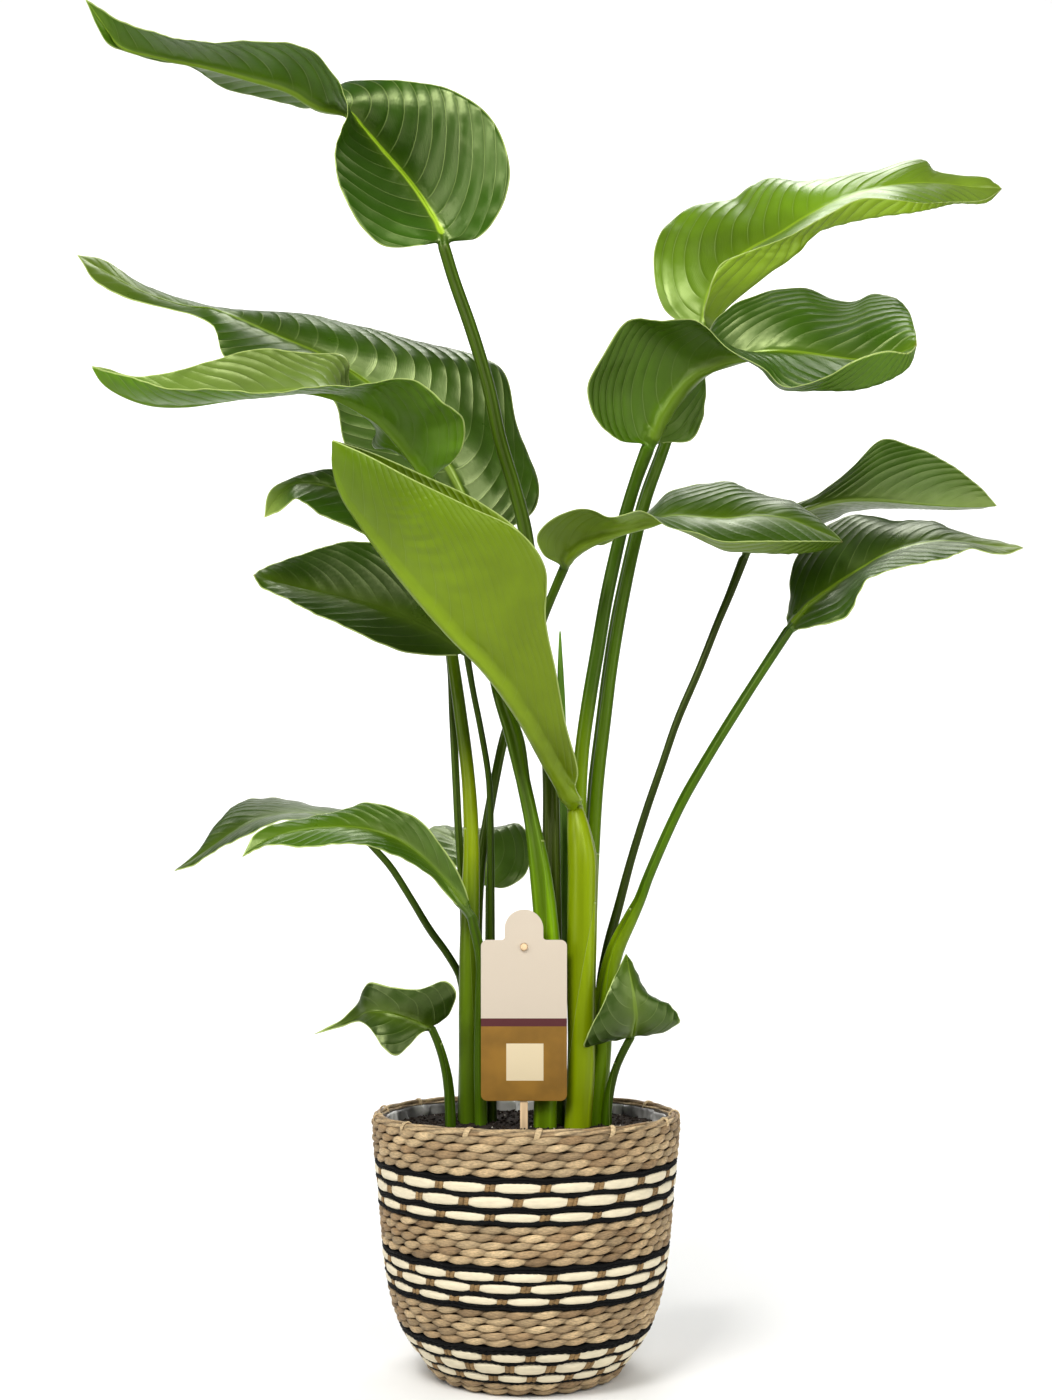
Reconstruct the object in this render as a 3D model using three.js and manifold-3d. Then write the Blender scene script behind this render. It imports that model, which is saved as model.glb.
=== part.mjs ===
// A bird of paradise plant in a lined, woven basket. Millimetres, +Z up, front towards -Y.
// The origin is the centre of the basket's flat foot.
import * as THREE from 'three';
import Module from 'manifold-3d';

const wasm = await Module();
wasm.setup();

// Basket
const FOOT_RADIUS = 80;
const RIM_HEIGHT = 262;
const WALL = [ // outer radius and height, foot to rim
  [80, 0], [93, 7], [105, 24], [118, 42], [128, 64], [134, 85],
  [139, 115], [142, 145], [145, 182], [149, 220], [151, 250], [151, 262],
];
const WALL_THICKNESS = 9;
const FLOOR_THICKNESS = 8;
const COURSE = 8; // height of one tan course
const COURSE_RELIEF = 1.5;
const STITCHES = 15; // tan stitches in one course
const BASKET_SIDES = 30;
const RIM_RELIEF = 2.2;
const RIM_BINDING = 11; // height of the bound rim
const STITCH_SWELL = 0.3; // share of the relief that a stitch adds

// Striped bands: top height, then cream and black courses from the top down
const BANDS = [
  { name: 'upper', top: 218, black: [5.6, 3.8, 5.4, 4.2], cream: [9.2, 10, 7.8] },
  { name: 'middle', top: 134.5, black: [6.4, 2.6, 4, 6], cream: [8.2, 8.4, 7] },
  { name: 'lower', top: 56.5, black: [7.4, 3, 2.4, 2.6], cream: [8.2, 10.4, 7.2] },
];
const BAND_RECESS = 3.4;
const BAND_FLOOR = 1.4;
const TWINE_PROUD = 0.9;
const STRIP_PROUD = 1.3;
const STRIP_PILLOW = 1.2;
const STRIP_SLACK = 1.1; // left free above and below each cream course
const WRAPS = 18; // wraps of twine round one cream course
const STRIP_SIDES = 2 * WRAPS;

// Liner and soil
const CLEARANCE = 0.3;
const LINER_THICKNESS = 1.4;
const LINER_OUT = -WALL_THICKNESS - 0.8; // its outer face, from the wall's outer face
const LINER_HEIGHTS = [24, 42, 75, 140, 230];
const LINER_CREASE = 0.7;
const LINER_TOP = 255;
const LINER_FOLD = 3.2; // how far the folds of the film stand in at its edge
const SOIL_EDGE = 246;
const SOIL_CENTRE = 249;
const ROOT_DEPTH = 26;
const HOLE_SIDES = 12;

// Leaves
const BLADE_THICKNESS = 1.3;
const RIB_LEAST = 0.8;
const LIP = 2;
const STALK_STEP = 62; // longest straight stretch of a stalk
const HALF_BLADE_STRIPS = 2;

// The spray is drawn as it stands from the front, VIEW_DISTANCE away and at VIEW_HEIGHT:
// each point is [x, z, depth] on the plane through the axis, slid back along that line of sight.
const VIEW_DISTANCE = 1800;
const VIEW_HEIGHT = 480;
const SPREAD = 1.4; // how much deeper the spray is at its top than drawn
const SPREAD_FROM = 300;
const SPREAD_TO = 750;

// Tag
const CARD = { width: 84, height: 157.5, bottom: 275.3, corner: 6, thickness: 1.2, y: -34, x: -2 };
const CARD_HEAD = { radius: 18.8, z: 443.8 };
const PEG = { radius: 3.6, z: 426, proud: 3 };
const STICK = { width: 7.6, thickness: 3, top: 436 };

const COLOURS = {
  tan: 0xb9986a,
  twine: 0x1b1d1b,
  cream: 0xe3d6b2,
  film: 0x5c5a59,
  soil: 0x2b211b,
  dark: 0x35570f,
  light: 0x86a31a,
  card: 0xdfc9a4,
  wood: 0xdcb88f,
};

// Each leaf: its stalk as [x, z, depth, width] from the soil up, then three curves from the
// blade's base to its tip as [x, z, depth]: left margin, midrib and right margin, seen from
// above the leaf. A lip is the right margin turned over, from the given control point on.
const LEAVES = [
  {
    name: 'leaf_top', stations: 17, bulge: 0.07, wave: [1.5, 5, 0.4],
    stalk: [
      [30, 252, 14, 19], [28, 372, 16, 19], [25.5, 522, 24, 18], [24, 612, 34, 17],
      [17, 692, 40, 16], [8, 772, 42, 15], [-1, 842, 42, 15], [-11, 882, 40, 14],
      [-26, 932, 36, 14], [-38, 987, 32, 13.5], [-54.5, 1042, 28, 13.5], [-72, 1092, 24, 13],
      [-82, 1125, 20, 12.5],
    ],
    left: [
      [-82, 1125, 20], [-106, 1126, 12], [-141, 1126, 5], [-166, 1146, 0], [-188, 1191, -5],
      [-189, 1227, -10], [-180, 1260, -15], [-188, 1292, -25], [-214, 1322, -40], [-264, 1329, -55],
      [-316, 1331, -65], [-366, 1338, -75], [-401, 1348, -80], [-425, 1364, -85], [-441, 1373, -90],
    ],
    rib: [
      [-82, 1125, 20], [-85, 1140, 24], [-98, 1164, 30], [-118, 1192, 34], [-143, 1220, 34],
      [-164, 1244, 28], [-178, 1259, 20], [-208, 1266, 10], [-236, 1282, 0], [-276, 1294, -15],
      [-321, 1306, -30], [-371, 1316, -50], [-406, 1326, -65], [-425, 1350, -80], [-441, 1373, -90],
    ],
    right: [
      [-82, 1125, 20], [-48, 1134, 12], [-26, 1160, 6], [-16, 1199, 0], [-32, 1250, 0],
      [-71, 1280, 5], [-126, 1292, 15], [-182, 1288, 35], [-212, 1264, 45], [-251, 1272, 30],
      [-304, 1284, 5], [-334, 1304, -20], [-386, 1316, -45], [-419, 1331, -75], [-441, 1373, -90],
    ],
  },
  {
    name: 'leaf_left_back', stations: 16, bulge: 0.06, wave: [2, 4, 1.1],
    stalk: [
      [19, 252, -12, 23], [21, 332, -11, 24], [21, 432, -8, 26], [14, 502, -4, 21.5],
      [5.5, 552, 2, 15], [-3, 592, 8, 14.5], [-11, 632, 14, 19], [-27, 682, 24, 15],
      [-36, 732, 36, 13], [-42, 782, 48, 12.5], [-47, 822, 56, 12], [-51, 852, 62, 11],
    ],
    left: [
      [-51, 852, 62], [-76, 848, 80], [-111, 860, 92], [-151, 892, 92], [-181, 927, 80],
      [-191, 970, 60], [-221, 994, 44], [-264, 1004, 34], [-300, 1015, 26], [-314, 1047, 36],
      [-344, 1058, 34], [-386, 1070, 24], [-430, 1091, 14], [-449, 1117, 10],
    ],
    rib: [
      [-51, 852, 62], [-64, 880, 66], [-78, 907, 70], [-101, 937, 74], [-131, 967, 76],
      [-166, 994, 76], [-206, 1017, 72], [-246, 1034, 66], [-286, 1052, 58], [-314, 1063, 50],
      [-341, 1066, 44], [-381, 1079, 34], [-430, 1105, 22], [-449, 1117, 10],
    ],
    right: [
      [-51, 852, 62], [-21, 844, 68], [7, 860, 74], [13, 889, 80], [-8, 945, 92],
      [-26, 1003, 100], [-96, 1028, 104], [-161, 1046, 104], [-226, 1057, 98], [-291, 1058, 86],
      [-336, 1072, 70], [-381, 1086, 50], [-428, 1113, 28], [-449, 1117, 10],
    ],
  },
  {
    name: 'leaf_left_middle', stations: 16, bulge: -0.06, wave: [2.2, 6, 0],
    stalk: [
      [-57, 252, 20, 20], [-57, 312, 20, 21], [-56.5, 412, 20, 21], [-55.5, 472, 21, 19],
      [-54.5, 532, 24, 16], [-57.5, 592, 30, 14], [-66, 662, 38, 13.5], [-73, 712, 44, 12.5],
      [-82, 772, 48, 11], [-89, 822, 44, 10.5], [-93, 862, 34, 10.5], [-94, 891, 20, 10],
    ],
    left: [
      [-94, 891, 20], [-78, 906, 2], [-63, 926, -12], [-63, 952, -24], [-81, 970, -34],
      [-106, 988, -44], [-138, 993, -52], [-181, 986, -58], [-226, 982, -62], [-271, 981, -64],
      [-316, 981, -66], [-356, 985, -66], [-391, 993, -62], [-418, 1001, -56], [-434, 1006, -50],
    ],
    rib: [
      [-94, 891, 20], [-102, 900, 16], [-114, 916, 12], [-129, 934, 6], [-146, 952, 0],
      [-166, 964, -6], [-191, 976, -12], [-221, 982, -18], [-261, 979, -24], [-301, 973, -30],
      [-341, 967, -36], [-376, 968, -40], [-404, 977, -44], [-423, 989, -48], [-434, 1006, -50],
    ],
    right: [
      [-94, 891, 20], [-118, 914, 28], [-141, 926, 34], [-152, 926, 36], [-152, 944, 34],
      [-168, 964, 30], [-178, 992, 26], [-181, 1015, 18], [-226, 1020, 8], [-271, 1022, -2],
      [-318, 1011, -12], [-356, 999, -24], [-391, 996, -34], [-418, 1003, -44], [-434, 1006, -50],
    ],
  },
  {
    name: 'leaf_left_drooping', stations: 10, bulge: 0.06, wave: [1, 3, 0],
    stalk: [
      [-63, 252, 38, 9], [-62, 372, 38, 9], [-62, 462, 39, 9], [-67, 532, 41, 8], [-70, 592, 46, 8],
      [-73, 652, 54, 8], [-76, 712, 62, 8], [-85, 762, 66, 8], [-101, 810, 62, 7.5],
    ],
    left: [
      [-101, 810, 62], [-124, 810, 56], [-151, 831, 44], [-176, 844, 30], [-204, 857, 16],
      [-229, 872, 4], [-243, 863, -6], [-262, 854, -14],
    ],
    rib: [
      [-101, 810, 62], [-118, 834, 62], [-146, 860, 56], [-178, 878, 46], [-208, 887, 32],
      [-234, 886, 16], [-251, 871, 0], [-262, 854, -14],
    ],
    right: [
      [-101, 810, 62], [-94, 842, 66], [-114, 875, 66], [-148, 896, 60], [-186, 902, 48],
      [-221, 899, 28], [-256, 881, 2], [-262, 854, -14],
    ],
  },
  {
    name: 'leaf_left_dark', stations: 11, bulge: 0.05, wave: [1.2, 3, 0.6],
    stalk: [
      [-34, 252, 26, 10], [-35, 372, 26, 9], [-35, 472, 25, 8], [-35.5, 542, 23, 7.5],
      [-37, 592, 21, 6.5], [-45, 642, 18, 6.5], [-53, 682, 13, 6.5], [-59, 717, 8, 7],
    ],
    left: [
      [-59, 717, 8], [-81, 716, 2], [-121, 720, -8], [-156, 732, -18], [-191, 750, -26],
      [-223, 764, -32], [-246, 775, -36], [-265, 786, -40], [-273, 797, -42],
    ],
    rib: [
      [-59, 717, 8], [-76, 732, 8], [-114, 752, 6], [-151, 766, 2], [-188, 775, -4],
      [-221, 782, -12], [-246, 788, -22], [-263, 793, -32], [-273, 797, -42],
    ],
    right: [
      [-59, 717, 8], [-60, 762, 20], [-90, 804, 24], [-131, 826, 22], [-176, 830, 16],
      [-214, 821, 6], [-243, 812, -10], [-265, 802, -26], [-273, 797, -42],
    ],
  },
  {
    name: 'leaf_front', stations: 15, bulge: -0.12, wave: [0, 1, 0], light: true,
    stalk: [
      [52, 252, -12, 27], [56, 312, -12, 29], [57, 412, -11, 32], [58, 472, -9, 33],
      [58, 512, -7, 33], [54, 542, -4, 26], [50, 564, 0, 18],
    ],
    left: [
      [50, 564, 0], [49, 582, -12], [52, 601, -28], [40, 648, -52], [30, 702, -72],
      [20, 752, -90], [19, 805, -104], [-6, 840, -116], [-58, 866, -122], [-114, 893, -126],
      [-161, 918, -128], [-193, 932, -128],
    ],
    rib: [
      [50, 564, 0], [42, 586, -14], [27, 611, -30], [0, 657, -50], [-34, 703, -66],
      [-74, 743, -78], [-108, 780, -88], [-138, 816, -96], [-164, 850, -104], [-183, 878, -112],
      [-192, 906, -120], [-193, 932, -128],
    ],
    right: [
      [50, 564, 0], [49, 584, -4], [46, 605, -8], [37, 648, -16], [28, 698, -26],
      [15, 746, -36], [14, 792, -44], [-1, 834, -54], [-46, 870, -66], [-101, 896, -82],
      [-156, 920, -104], [-193, 932, -128],
    ],
  },
  {
    name: 'leaf_right_front', stations: 18, bulge: 0.07, wave: [1.5, 5, 0.8],
    stalk: [
      [52, 252, 36, 16], [54, 372, 34, 16], [54, 472, 32, 16], [53, 572, 30, 15.5],
      [56, 622, 28, 15], [63, 672, 27, 15], [71.5, 722, 26, 14.5], [80, 772, 25, 14],
      [88.5, 812, 24, 14], [98, 852, 20, 13.5], [110, 892, 16, 13], [121, 922, 10, 14.5],
    ],
    left: [
      [121, 922, 10], [138, 929, 14], [164, 931, 18], [177, 952, 20], [180, 976, 16],
      [178, 1000, 8], [182, 1021, -4], [187, 1048, -14], [205, 1067, -18], [240, 1079, -18],
      [280, 1083, -16], [321, 1071, -20], [349, 1077, -28], [377, 1068, -44], [388, 1048, -66],
      [391, 1027, -84],
    ],
    rib: [
      [121, 922, 10], [126, 936, 8], [134, 952, 4], [144, 968, -2], [157, 985, -8],
      [172, 998, -16], [186, 1005, -22], [201, 1011, -28], [219, 1015, -34], [244, 1019, -40],
      [274, 1018, -48], [304, 1014, -56], [336, 1011, -64], [364, 1015, -72], [382, 1022, -80],
      [391, 1027, -84],
    ],
    right: [
      [121, 922, 10], [96, 931, -4], [72, 952, -14], [63, 984, -22], [77, 1013, -30],
      [103, 1050, -38], [136, 1050, -50], [171, 1050, -62], [204, 1022, -72], [236, 1001, -78],
      [254, 983, -84], [294, 981, -90], [332, 982, -94], [364, 992, -94], [383, 1005, -92],
      [391, 1027, -84],
    ],
    lip: {
      from: 9,
      points: [
        [238, 1003, -84], [260, 985, -98], [298, 994, -106], [330, 1012, -110], [360, 1021, -108],
        [381, 1019, -100], [391, 1027, -86],
      ],
    },
  },
  {
    name: 'leaf_right_top', stations: 16, bulge: 0.06, wave: [2, 5, 0.2],
    stalk: [
      [60, 252, 54, 15], [61, 372, 52, 15], [64, 472, 50, 16], [66, 532, 48, 17], [70, 592, 46, 17],
      [76, 642, 45, 16.5], [83.5, 702, 44, 16], [91.5, 752, 43, 16], [99.5, 792, 43, 15.5],
      [108.5, 832, 42, 15], [118.5, 872, 42, 14.5], [136.5, 922, 42, 13.5], [156, 977, 40, 11],
      [170, 1014, 35, 11], [179, 1037, 30, 10],
    ],
    left: [
      [179, 1037, 30], [158, 1047, 36], [137, 1064, 44], [128, 1104, 54], [135, 1141, 66],
      [164, 1165, 78], [204, 1171, 88], [239, 1195, 96], [286, 1190, 102], [340, 1200, 106],
      [396, 1214, 108], [409, 1199, 108], [464, 1194, 108], [476, 1183, 110],
    ],
    rib: [
      [179, 1037, 30], [180, 1054, 32], [183, 1072, 36], [190, 1090, 42], [204, 1106, 48],
      [226, 1122, 54], [252, 1136, 60], [280, 1154, 66], [312, 1171, 72], [346, 1182, 80],
      [382, 1188, 88], [414, 1188, 96], [452, 1184, 104], [476, 1183, 110],
    ],
    right: [
      [179, 1037, 30], [192, 1053, 22], [204, 1066, 18], [221, 1081, 14], [246, 1100, 12],
      [270, 1117, 14], [292, 1139, 18], [319, 1148, 24], [354, 1155, 32], [386, 1159, 44],
      [407, 1163, 58], [429, 1168, 76], [460, 1169, 94], [476, 1183, 110],
    ],
    lip: {
      from: 1,
      points: [
        [178, 1060, 12], [182, 1077, 4], [187, 1094, -2], [195, 1108, -4], [224, 1121, -2],
        [261, 1135, 4], [299, 1156, 10], [334, 1173, 18], [371, 1172, 32], [396, 1169, 48],
        [422, 1170, 68], [457, 1172, 90], [475, 1182, 108],
      ],
    },
  },
  {
    name: 'leaf_centre_right', stations: 16, bulge: 0.06, wave: [1.2, 4, 0.5],
    stalk: [
      [-48, 252, 42, 12], [-49, 372, 42, 12], [-49, 452, 42, 11.5], [-45, 512, 43, 11],
      [-38.5, 552, 45, 10.5], [-31, 592, 47, 10], [-22.5, 632, 48, 10], [-13, 662, 44, 10],
      [-2, 697, 34, 10], [9, 729, 20, 9.5], [18.5, 757, 8, 9], [28.5, 782, 0, 9.5],
      [38, 804, -8, 10],
    ],
    left: [
      [38, 804, -8], [54, 820, -8], [66, 828, -10], [81, 828, -10], [91, 834, -10],
      [105, 845, -10], [121, 859, -8], [143, 878, 0], [174, 888, 8], [204, 891, 12],
      [234, 877, 12], [269, 869, 8], [292, 855, 0], [317, 830, -10],
    ],
    rib: [
      [38, 804, -8], [41, 814, -14], [51, 823, -20], [65, 831, -24], [82, 837, -28],
      [101, 843, -30], [122, 848, -30], [146, 855, -28], [172, 854, -24], [201, 853, -20],
      [232, 856, -16], [264, 852, -14], [292, 841, -12], [317, 830, -10],
    ],
    right: [
      [38, 804, -8], [19, 817, -24], [13, 836, -36], [33, 855, -46], [61, 862, -52],
      [86, 854, -54], [116, 860, -52], [142, 846, -48], [169, 835, -50], [196, 822, -50],
      [229, 819, -48], [264, 818, -42], [294, 821, -30], [317, 830, -10],
    ],
    lip: {
      from: 8,
      points: [
        [171, 839, -58], [196, 831, -64], [231, 831, -64], [264, 831, -58], [294, 831, -44],
        [316, 830, -14],
      ],
    },
  },
  {
    name: 'leaf_right_low', stations: 13, bulge: 0.06, wave: [1.6, 4, 0.9],
    stalk: [
      [68, 252, 9, 22], [74, 312, 11, 22], [78, 372, 12, 21], [88.5, 420, 11, 18],
      [104.5, 454, 9, 15], [113.5, 472, 8, 12], [121, 492, 7, 11], [138, 532, 5, 10.5],
      [157, 572, 4, 10.5], [180, 612, 4, 10.5], [204.5, 652, 5, 10.5], [230, 692, 6, 10],
      [262, 741, 6, 10.5],
    ],
    left: [
      [262, 741, 6], [261, 757, 16], [263, 776, 26], [266, 800, 34], [277, 826, 42],
      [302, 847, 48], [332, 856, 50], [367, 853, 44], [401, 851, 34], [431, 840, 20],
      [474, 832, 4], [498, 824, -10],
    ],
    rib: [
      [262, 741, 6], [271, 752, 8], [284, 766, 10], [300, 778, 12], [317, 790, 12],
      [336, 802, 12], [359, 816, 10], [384, 825, 8], [412, 830, 6], [437, 829, 2],
      [472, 825, -4], [498, 824, -10],
    ],
    right: [
      [262, 741, 6], [277, 743, -4], [300, 747, -12], [320, 756, -20], [331, 772, -26],
      [342, 792, -28], [369, 804, -28], [394, 807, -28], [421, 814, -26], [442, 823, -24],
      [474, 816, -20], [498, 824, -10],
    ],
  },
  {
    name: 'leaf_right_upper', stations: 12, bulge: 0.05, wave: [1.5, 3, 0.3],
    stalk: [
      [80, 252, 30, 12], [77, 332, 30, 12], [75, 382, 30, 11], [81, 422, 30, 10],
      [93, 467, 31, 9.5], [105, 512, 32, 8.5], [120.5, 562, 33, 8], [136, 607, 34, 8],
      [151.5, 652, 36, 8], [173, 702, 38, 8], [192, 750, 42, 8], [203, 776, 44, 8.5],
      [217, 812, 46, 10],
    ],
    left: [
      [217, 812, 46], [217, 828, 52], [232, 846, 60], [262, 864, 68], [296, 879, 76],
      [326, 905, 84], [356, 933, 88], [389, 924, 92], [423, 908, 98], [453, 887, 104],
      [471, 866, 110],
    ],
    rib: [
      [217, 812, 46], [225, 826, 50], [240, 839, 56], [262, 853, 62], [289, 865, 68],
      [319, 871, 74], [354, 871, 80], [389, 868, 88], [419, 866, 96], [446, 865, 104],
      [471, 866, 110],
    ],
    right: [
      [217, 812, 46], [232, 823, 58], [254, 831, 72], [280, 840, 88], [307, 851, 104],
      [327, 861, 118], [358, 865, 128], [391, 864, 130], [422, 863, 126], [449, 864, 118],
      [471, 866, 110],
    ],
  },
  {
    name: 'leaf_low_left_front', stations: 13, bulge: 0.06, wave: [1.2, 4, 0],
    stalk: [
      [-45, 252, 3, 13], [-46, 312, 3, 13], [-45, 372, 2, 12.5], [-45, 412, 1, 11],
      [-54, 454, 0, 10],
    ],
    left: [
      [-54, 454, 0], [-76, 473, -16], [-96, 497, -34], [-118, 510, -50], [-136, 518, -62],
      [-154, 526, -72], [-174, 527, -80], [-198, 527, -86], [-226, 525, -90], [-254, 526, -92],
      [-270, 523, -92], [-284, 515, -90],
    ],
    rib: [
      [-54, 454, 0], [-68, 475, -8], [-86, 496, -18], [-104, 514, -28], [-124, 529, -38],
      [-146, 538, -46], [-171, 543, -54], [-198, 544, -62], [-226, 541, -70], [-251, 535, -78],
      [-270, 526, -84], [-284, 515, -90],
    ],
    right: [
      [-54, 454, 0], [-59, 479, -10], [-70, 504, -20], [-85, 527, -28], [-105, 551, -34],
      [-131, 563, -36], [-161, 570, -38], [-186, 561, -46], [-218, 554, -54], [-246, 550, -66],
      [-269, 539, -78], [-284, 515, -90],
    ],
  },
  {
    name: 'leaf_low_left_back', stations: 11, bulge: 0.06, wave: [1.2, 3, 0.5],
    stalk: [
      [-64, 252, 52, 9], [-63, 342, 54, 8.5], [-65, 392, 56, 8], [-78, 417, 56, 8],
      [-96, 442, 54, 8], [-116, 475, 50, 7.5], [-136, 506, 46, 7.5], [-154, 526, 44, 7],
    ],
    left: [
      [-154, 526, 44], [-176, 533, 34], [-196, 544, 26], [-226, 551, 18], [-251, 549, 12],
      [-274, 540, 8], [-294, 529, 6], [-314, 518, 6], [-336, 506, 10], [-352, 501, 14],
    ],
    rib: [
      [-154, 526, 44], [-168, 540, 44], [-186, 551, 44], [-216, 558, 42], [-245, 557, 40],
      [-270, 551, 36], [-292, 540, 32], [-314, 525, 26], [-336, 510, 20], [-352, 501, 14],
    ],
    right: [
      [-154, 526, 44], [-152, 548, 56], [-174, 560, 66], [-204, 565, 74], [-234, 572, 78],
      [-262, 573, 76], [-286, 570, 68], [-307, 552, 52], [-326, 521, 32], [-352, 501, 14],
    ],
  },
  {
    name: 'leaf_small_left', stations: 11, bulge: 0.05, wave: [0.8, 3, 0],
    stalk: [
      [-75.5, 252, 0, 11], [-77.5, 287, 0, 10.5], [-82.5, 312, -5, 9], [-88, 329, -10, 8.5],
      [-94, 343, -14, 8],
    ],
    left: [
      [-94, 343, -14], [-106, 338, -28], [-117, 326, -38], [-130, 316, -46], [-142, 323, -48],
      [-152, 338, -40], [-160, 347, -26], [-169, 350, -6], [-185, 345, 10], [-214, 337, 22],
    ],
    rib: [
      [-94, 343, -14], [-102, 347, -18], [-113, 352, -22], [-124, 356, -24], [-136, 359, -24],
      [-148, 360, -20], [-159, 359, -12], [-168, 354, 0], [-186, 348, 12], [-214, 337, 22],
    ],
    right: [
      [-94, 343, -14], [-78, 356, -22], [-70, 380, -32], [-80, 391, -36], [-106, 383, -34],
      [-134, 385, -26], [-158, 389, -12], [-169, 369, 2], [-186, 351, 14], [-214, 337, 22],
    ],
  },
  {
    name: 'leaf_small_right', stations: 9, bulge: 0.08, wave: [1, 3, 0],
    stalk: [
      [80.5, 252, -3, 10], [83, 277, -3, 9.5], [90, 304, -5, 8], [98, 322, -8, 8],
      [105, 335, -10, 8],
    ],
    left: [
      [105, 335, -10], [84, 331, -22], [58, 325, -36], [64, 343, -44], [76, 366, -44],
      [87, 392, -36], [100, 419, -20],
    ],
    rib: [
      [105, 335, -10], [107, 344, -20], [109, 356, -28], [108, 370, -32], [106, 385, -32],
      [103, 401, -28], [100, 419, -20],
    ],
    right: [
      [105, 335, -10], [126, 337, -10], [154, 351, -8], [146, 365, -10], [125, 376, -14],
      [112, 397, -18], [100, 419, -20],
    ],
  },
  {
    name: 'leaf_back_small', stations: 10, bulge: 0.05, wave: [1, 3, 0],
    stalk: [
      [-34, 252, 48, 9], [-36, 332, 52, 8.5], [-37, 412, 64, 8], [-37, 452, 76, 8],
      [-37, 484, 84, 7.5],
    ],
    left: [
      [-37, 484, 84], [-48, 488, 82], [-60, 496, 82], [-71, 506, 84], [-80, 516, 88],
      [-88, 526, 94], [-94, 534, 100], [-97, 539, 108], [-99, 542, 114],
    ],
    rib: [
      [-37, 484, 84], [-37, 494, 90], [-40, 504, 96], [-46, 514, 102], [-56, 522, 106],
      [-68, 529, 108], [-81, 536, 110], [-92, 541, 112], [-99, 542, 114],
    ],
    right: [
      [-37, 484, 84], [-18, 485, 98], [0, 499, 112], [5, 524, 122], [-5, 547, 128],
      [-34, 544, 130], [-64, 545, 128], [-86, 546, 122], [-99, 542, 114],
    ],
  },
];

const SPEAR = [
  [34, 252, 40, 11], [36, 372, 38, 11], [39, 512, 42, 10], [37, 592, 48, 9], [35.5, 672, 46, 8],
  [34.5, 702, 44, 6.5], [34, 741, 42, 2],
];

const { cos, sin, PI, hypot, max, min, round } = Math;

function solid(positions, triangles) {
  const geometry = new THREE.BufferGeometry();
  geometry.setAttribute('position', new THREE.Float32BufferAttribute(positions.flat(), 3));
  let volume = 0;
  for (const [a, b, c] of triangles) {
    const [p, q, r] = [positions[a], positions[b], positions[c]];
    volume += p[0] * (q[1] * r[2] - q[2] * r[1]) - p[1] * (q[0] * r[2] - q[2] * r[0])
      + p[2] * (q[0] * r[1] - q[1] * r[0]);
  }
  const outward = volume > 0 ? triangles : triangles.map(([a, b, c]) => [a, c, b]);
  geometry.setIndex(outward.flat());
  geometry.computeVertexNormals();
  return geometry;
}

function piece(name, geometry, colour, roughness) {
  const material = new THREE.MeshStandardMaterial({ color: colour, roughness, metalness: 0 });
  const mesh = new THREE.Mesh(geometry, material);
  mesh.name = name;
  return mesh;
}

function toManifold(geometry) {
  const vertProperties = new Float32Array(geometry.getAttribute('position').array);
  const triVerts = new Uint32Array(geometry.getIndex().array);
  return new wasm.Manifold(new wasm.Mesh({ numProp: 3, vertProperties, triVerts }));
}

function fromManifold(body) {
  const { vertProperties, triVerts } = body.getMesh();
  const geometry = new THREE.BufferGeometry();
  geometry.setAttribute('position', new THREE.BufferAttribute(vertProperties, 3));
  geometry.setIndex(new THREE.BufferAttribute(triVerts, 1));
  geometry.computeVertexNormals();
  return geometry;
}

// Rings of points joined into one closed body, with an end point at each end of the row.
// Quads before `turn` split along one diagonal and the rest along the other, so that the two
// faces of a thin blade split alike.
function loft(rings, start, end, turn) {
  const around = rings[0].length;
  const positions = [...rings.flat(), start, end];
  const startIndex = positions.length - 2;
  const endIndex = positions.length - 1;
  const triangles = [];
  for (let k = 0; k < around; k += 1) {
    const next = (k + 1) % around;
    triangles.push([startIndex, k, next]);
    for (let i = 0; i + 1 < rings.length; i += 1) {
      const [a, b] = [i * around + k, i * around + next];
      const [c, d] = [a + around, b + around];
      if (k < turn) triangles.push([a, c, d], [a, d, b]);
      else triangles.push([a, c, b], [b, c, d]);
    }
    const last = (rings.length - 1) * around;
    triangles.push([endIndex, last + next, last + k]);
  }
  return solid(positions, triangles);
}

// A closed band of revolution: section(angle) gives its loop as [radius, height].
function band(section, sides) {
  const loops = [];
  for (let s = 0; s < sides; s += 1) {
    const angle = (2 * PI * s) / sides;
    loops.push(section(angle, s).map(([r, z]) => [r * cos(angle), r * sin(angle), z]));
  }
  const around = loops[0].length;
  const triangles = [];
  for (let s = 0; s < sides; s += 1) {
    const there = ((s + 1) % sides) * around;
    for (let k = 0; k < around; k += 1) {
      const [a, b] = [s * around + k, s * around + ((k + 1) % around)];
      const [c, d] = [there + k, there + ((k + 1) % around)];
      triangles.push([a, c, b], [b, c, d]);
    }
  }
  return solid(loops.flat(), triangles);
}

// A body of revolution closed on the axis: section(angle) runs from below to above.
function turned(section, bottom, top, sides) {
  const rows = [];
  for (let s = 0; s < sides; s += 1) {
    const angle = (2 * PI * s) / sides;
    rows.push(section(angle, s).map(([r, z]) => [r * cos(angle), r * sin(angle), z]));
  }
  const rings = rows[0].map((_, k) => rows.map((row) => row[k]));
  return loft(rings, [0, 0, bottom], [0, 0, top], sides);
}

const wallCurve = new THREE.SplineCurve(WALL.map(([r, z]) => new THREE.Vector2(r, z)));
const wallSamples = wallCurve.getPoints(400);

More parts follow.
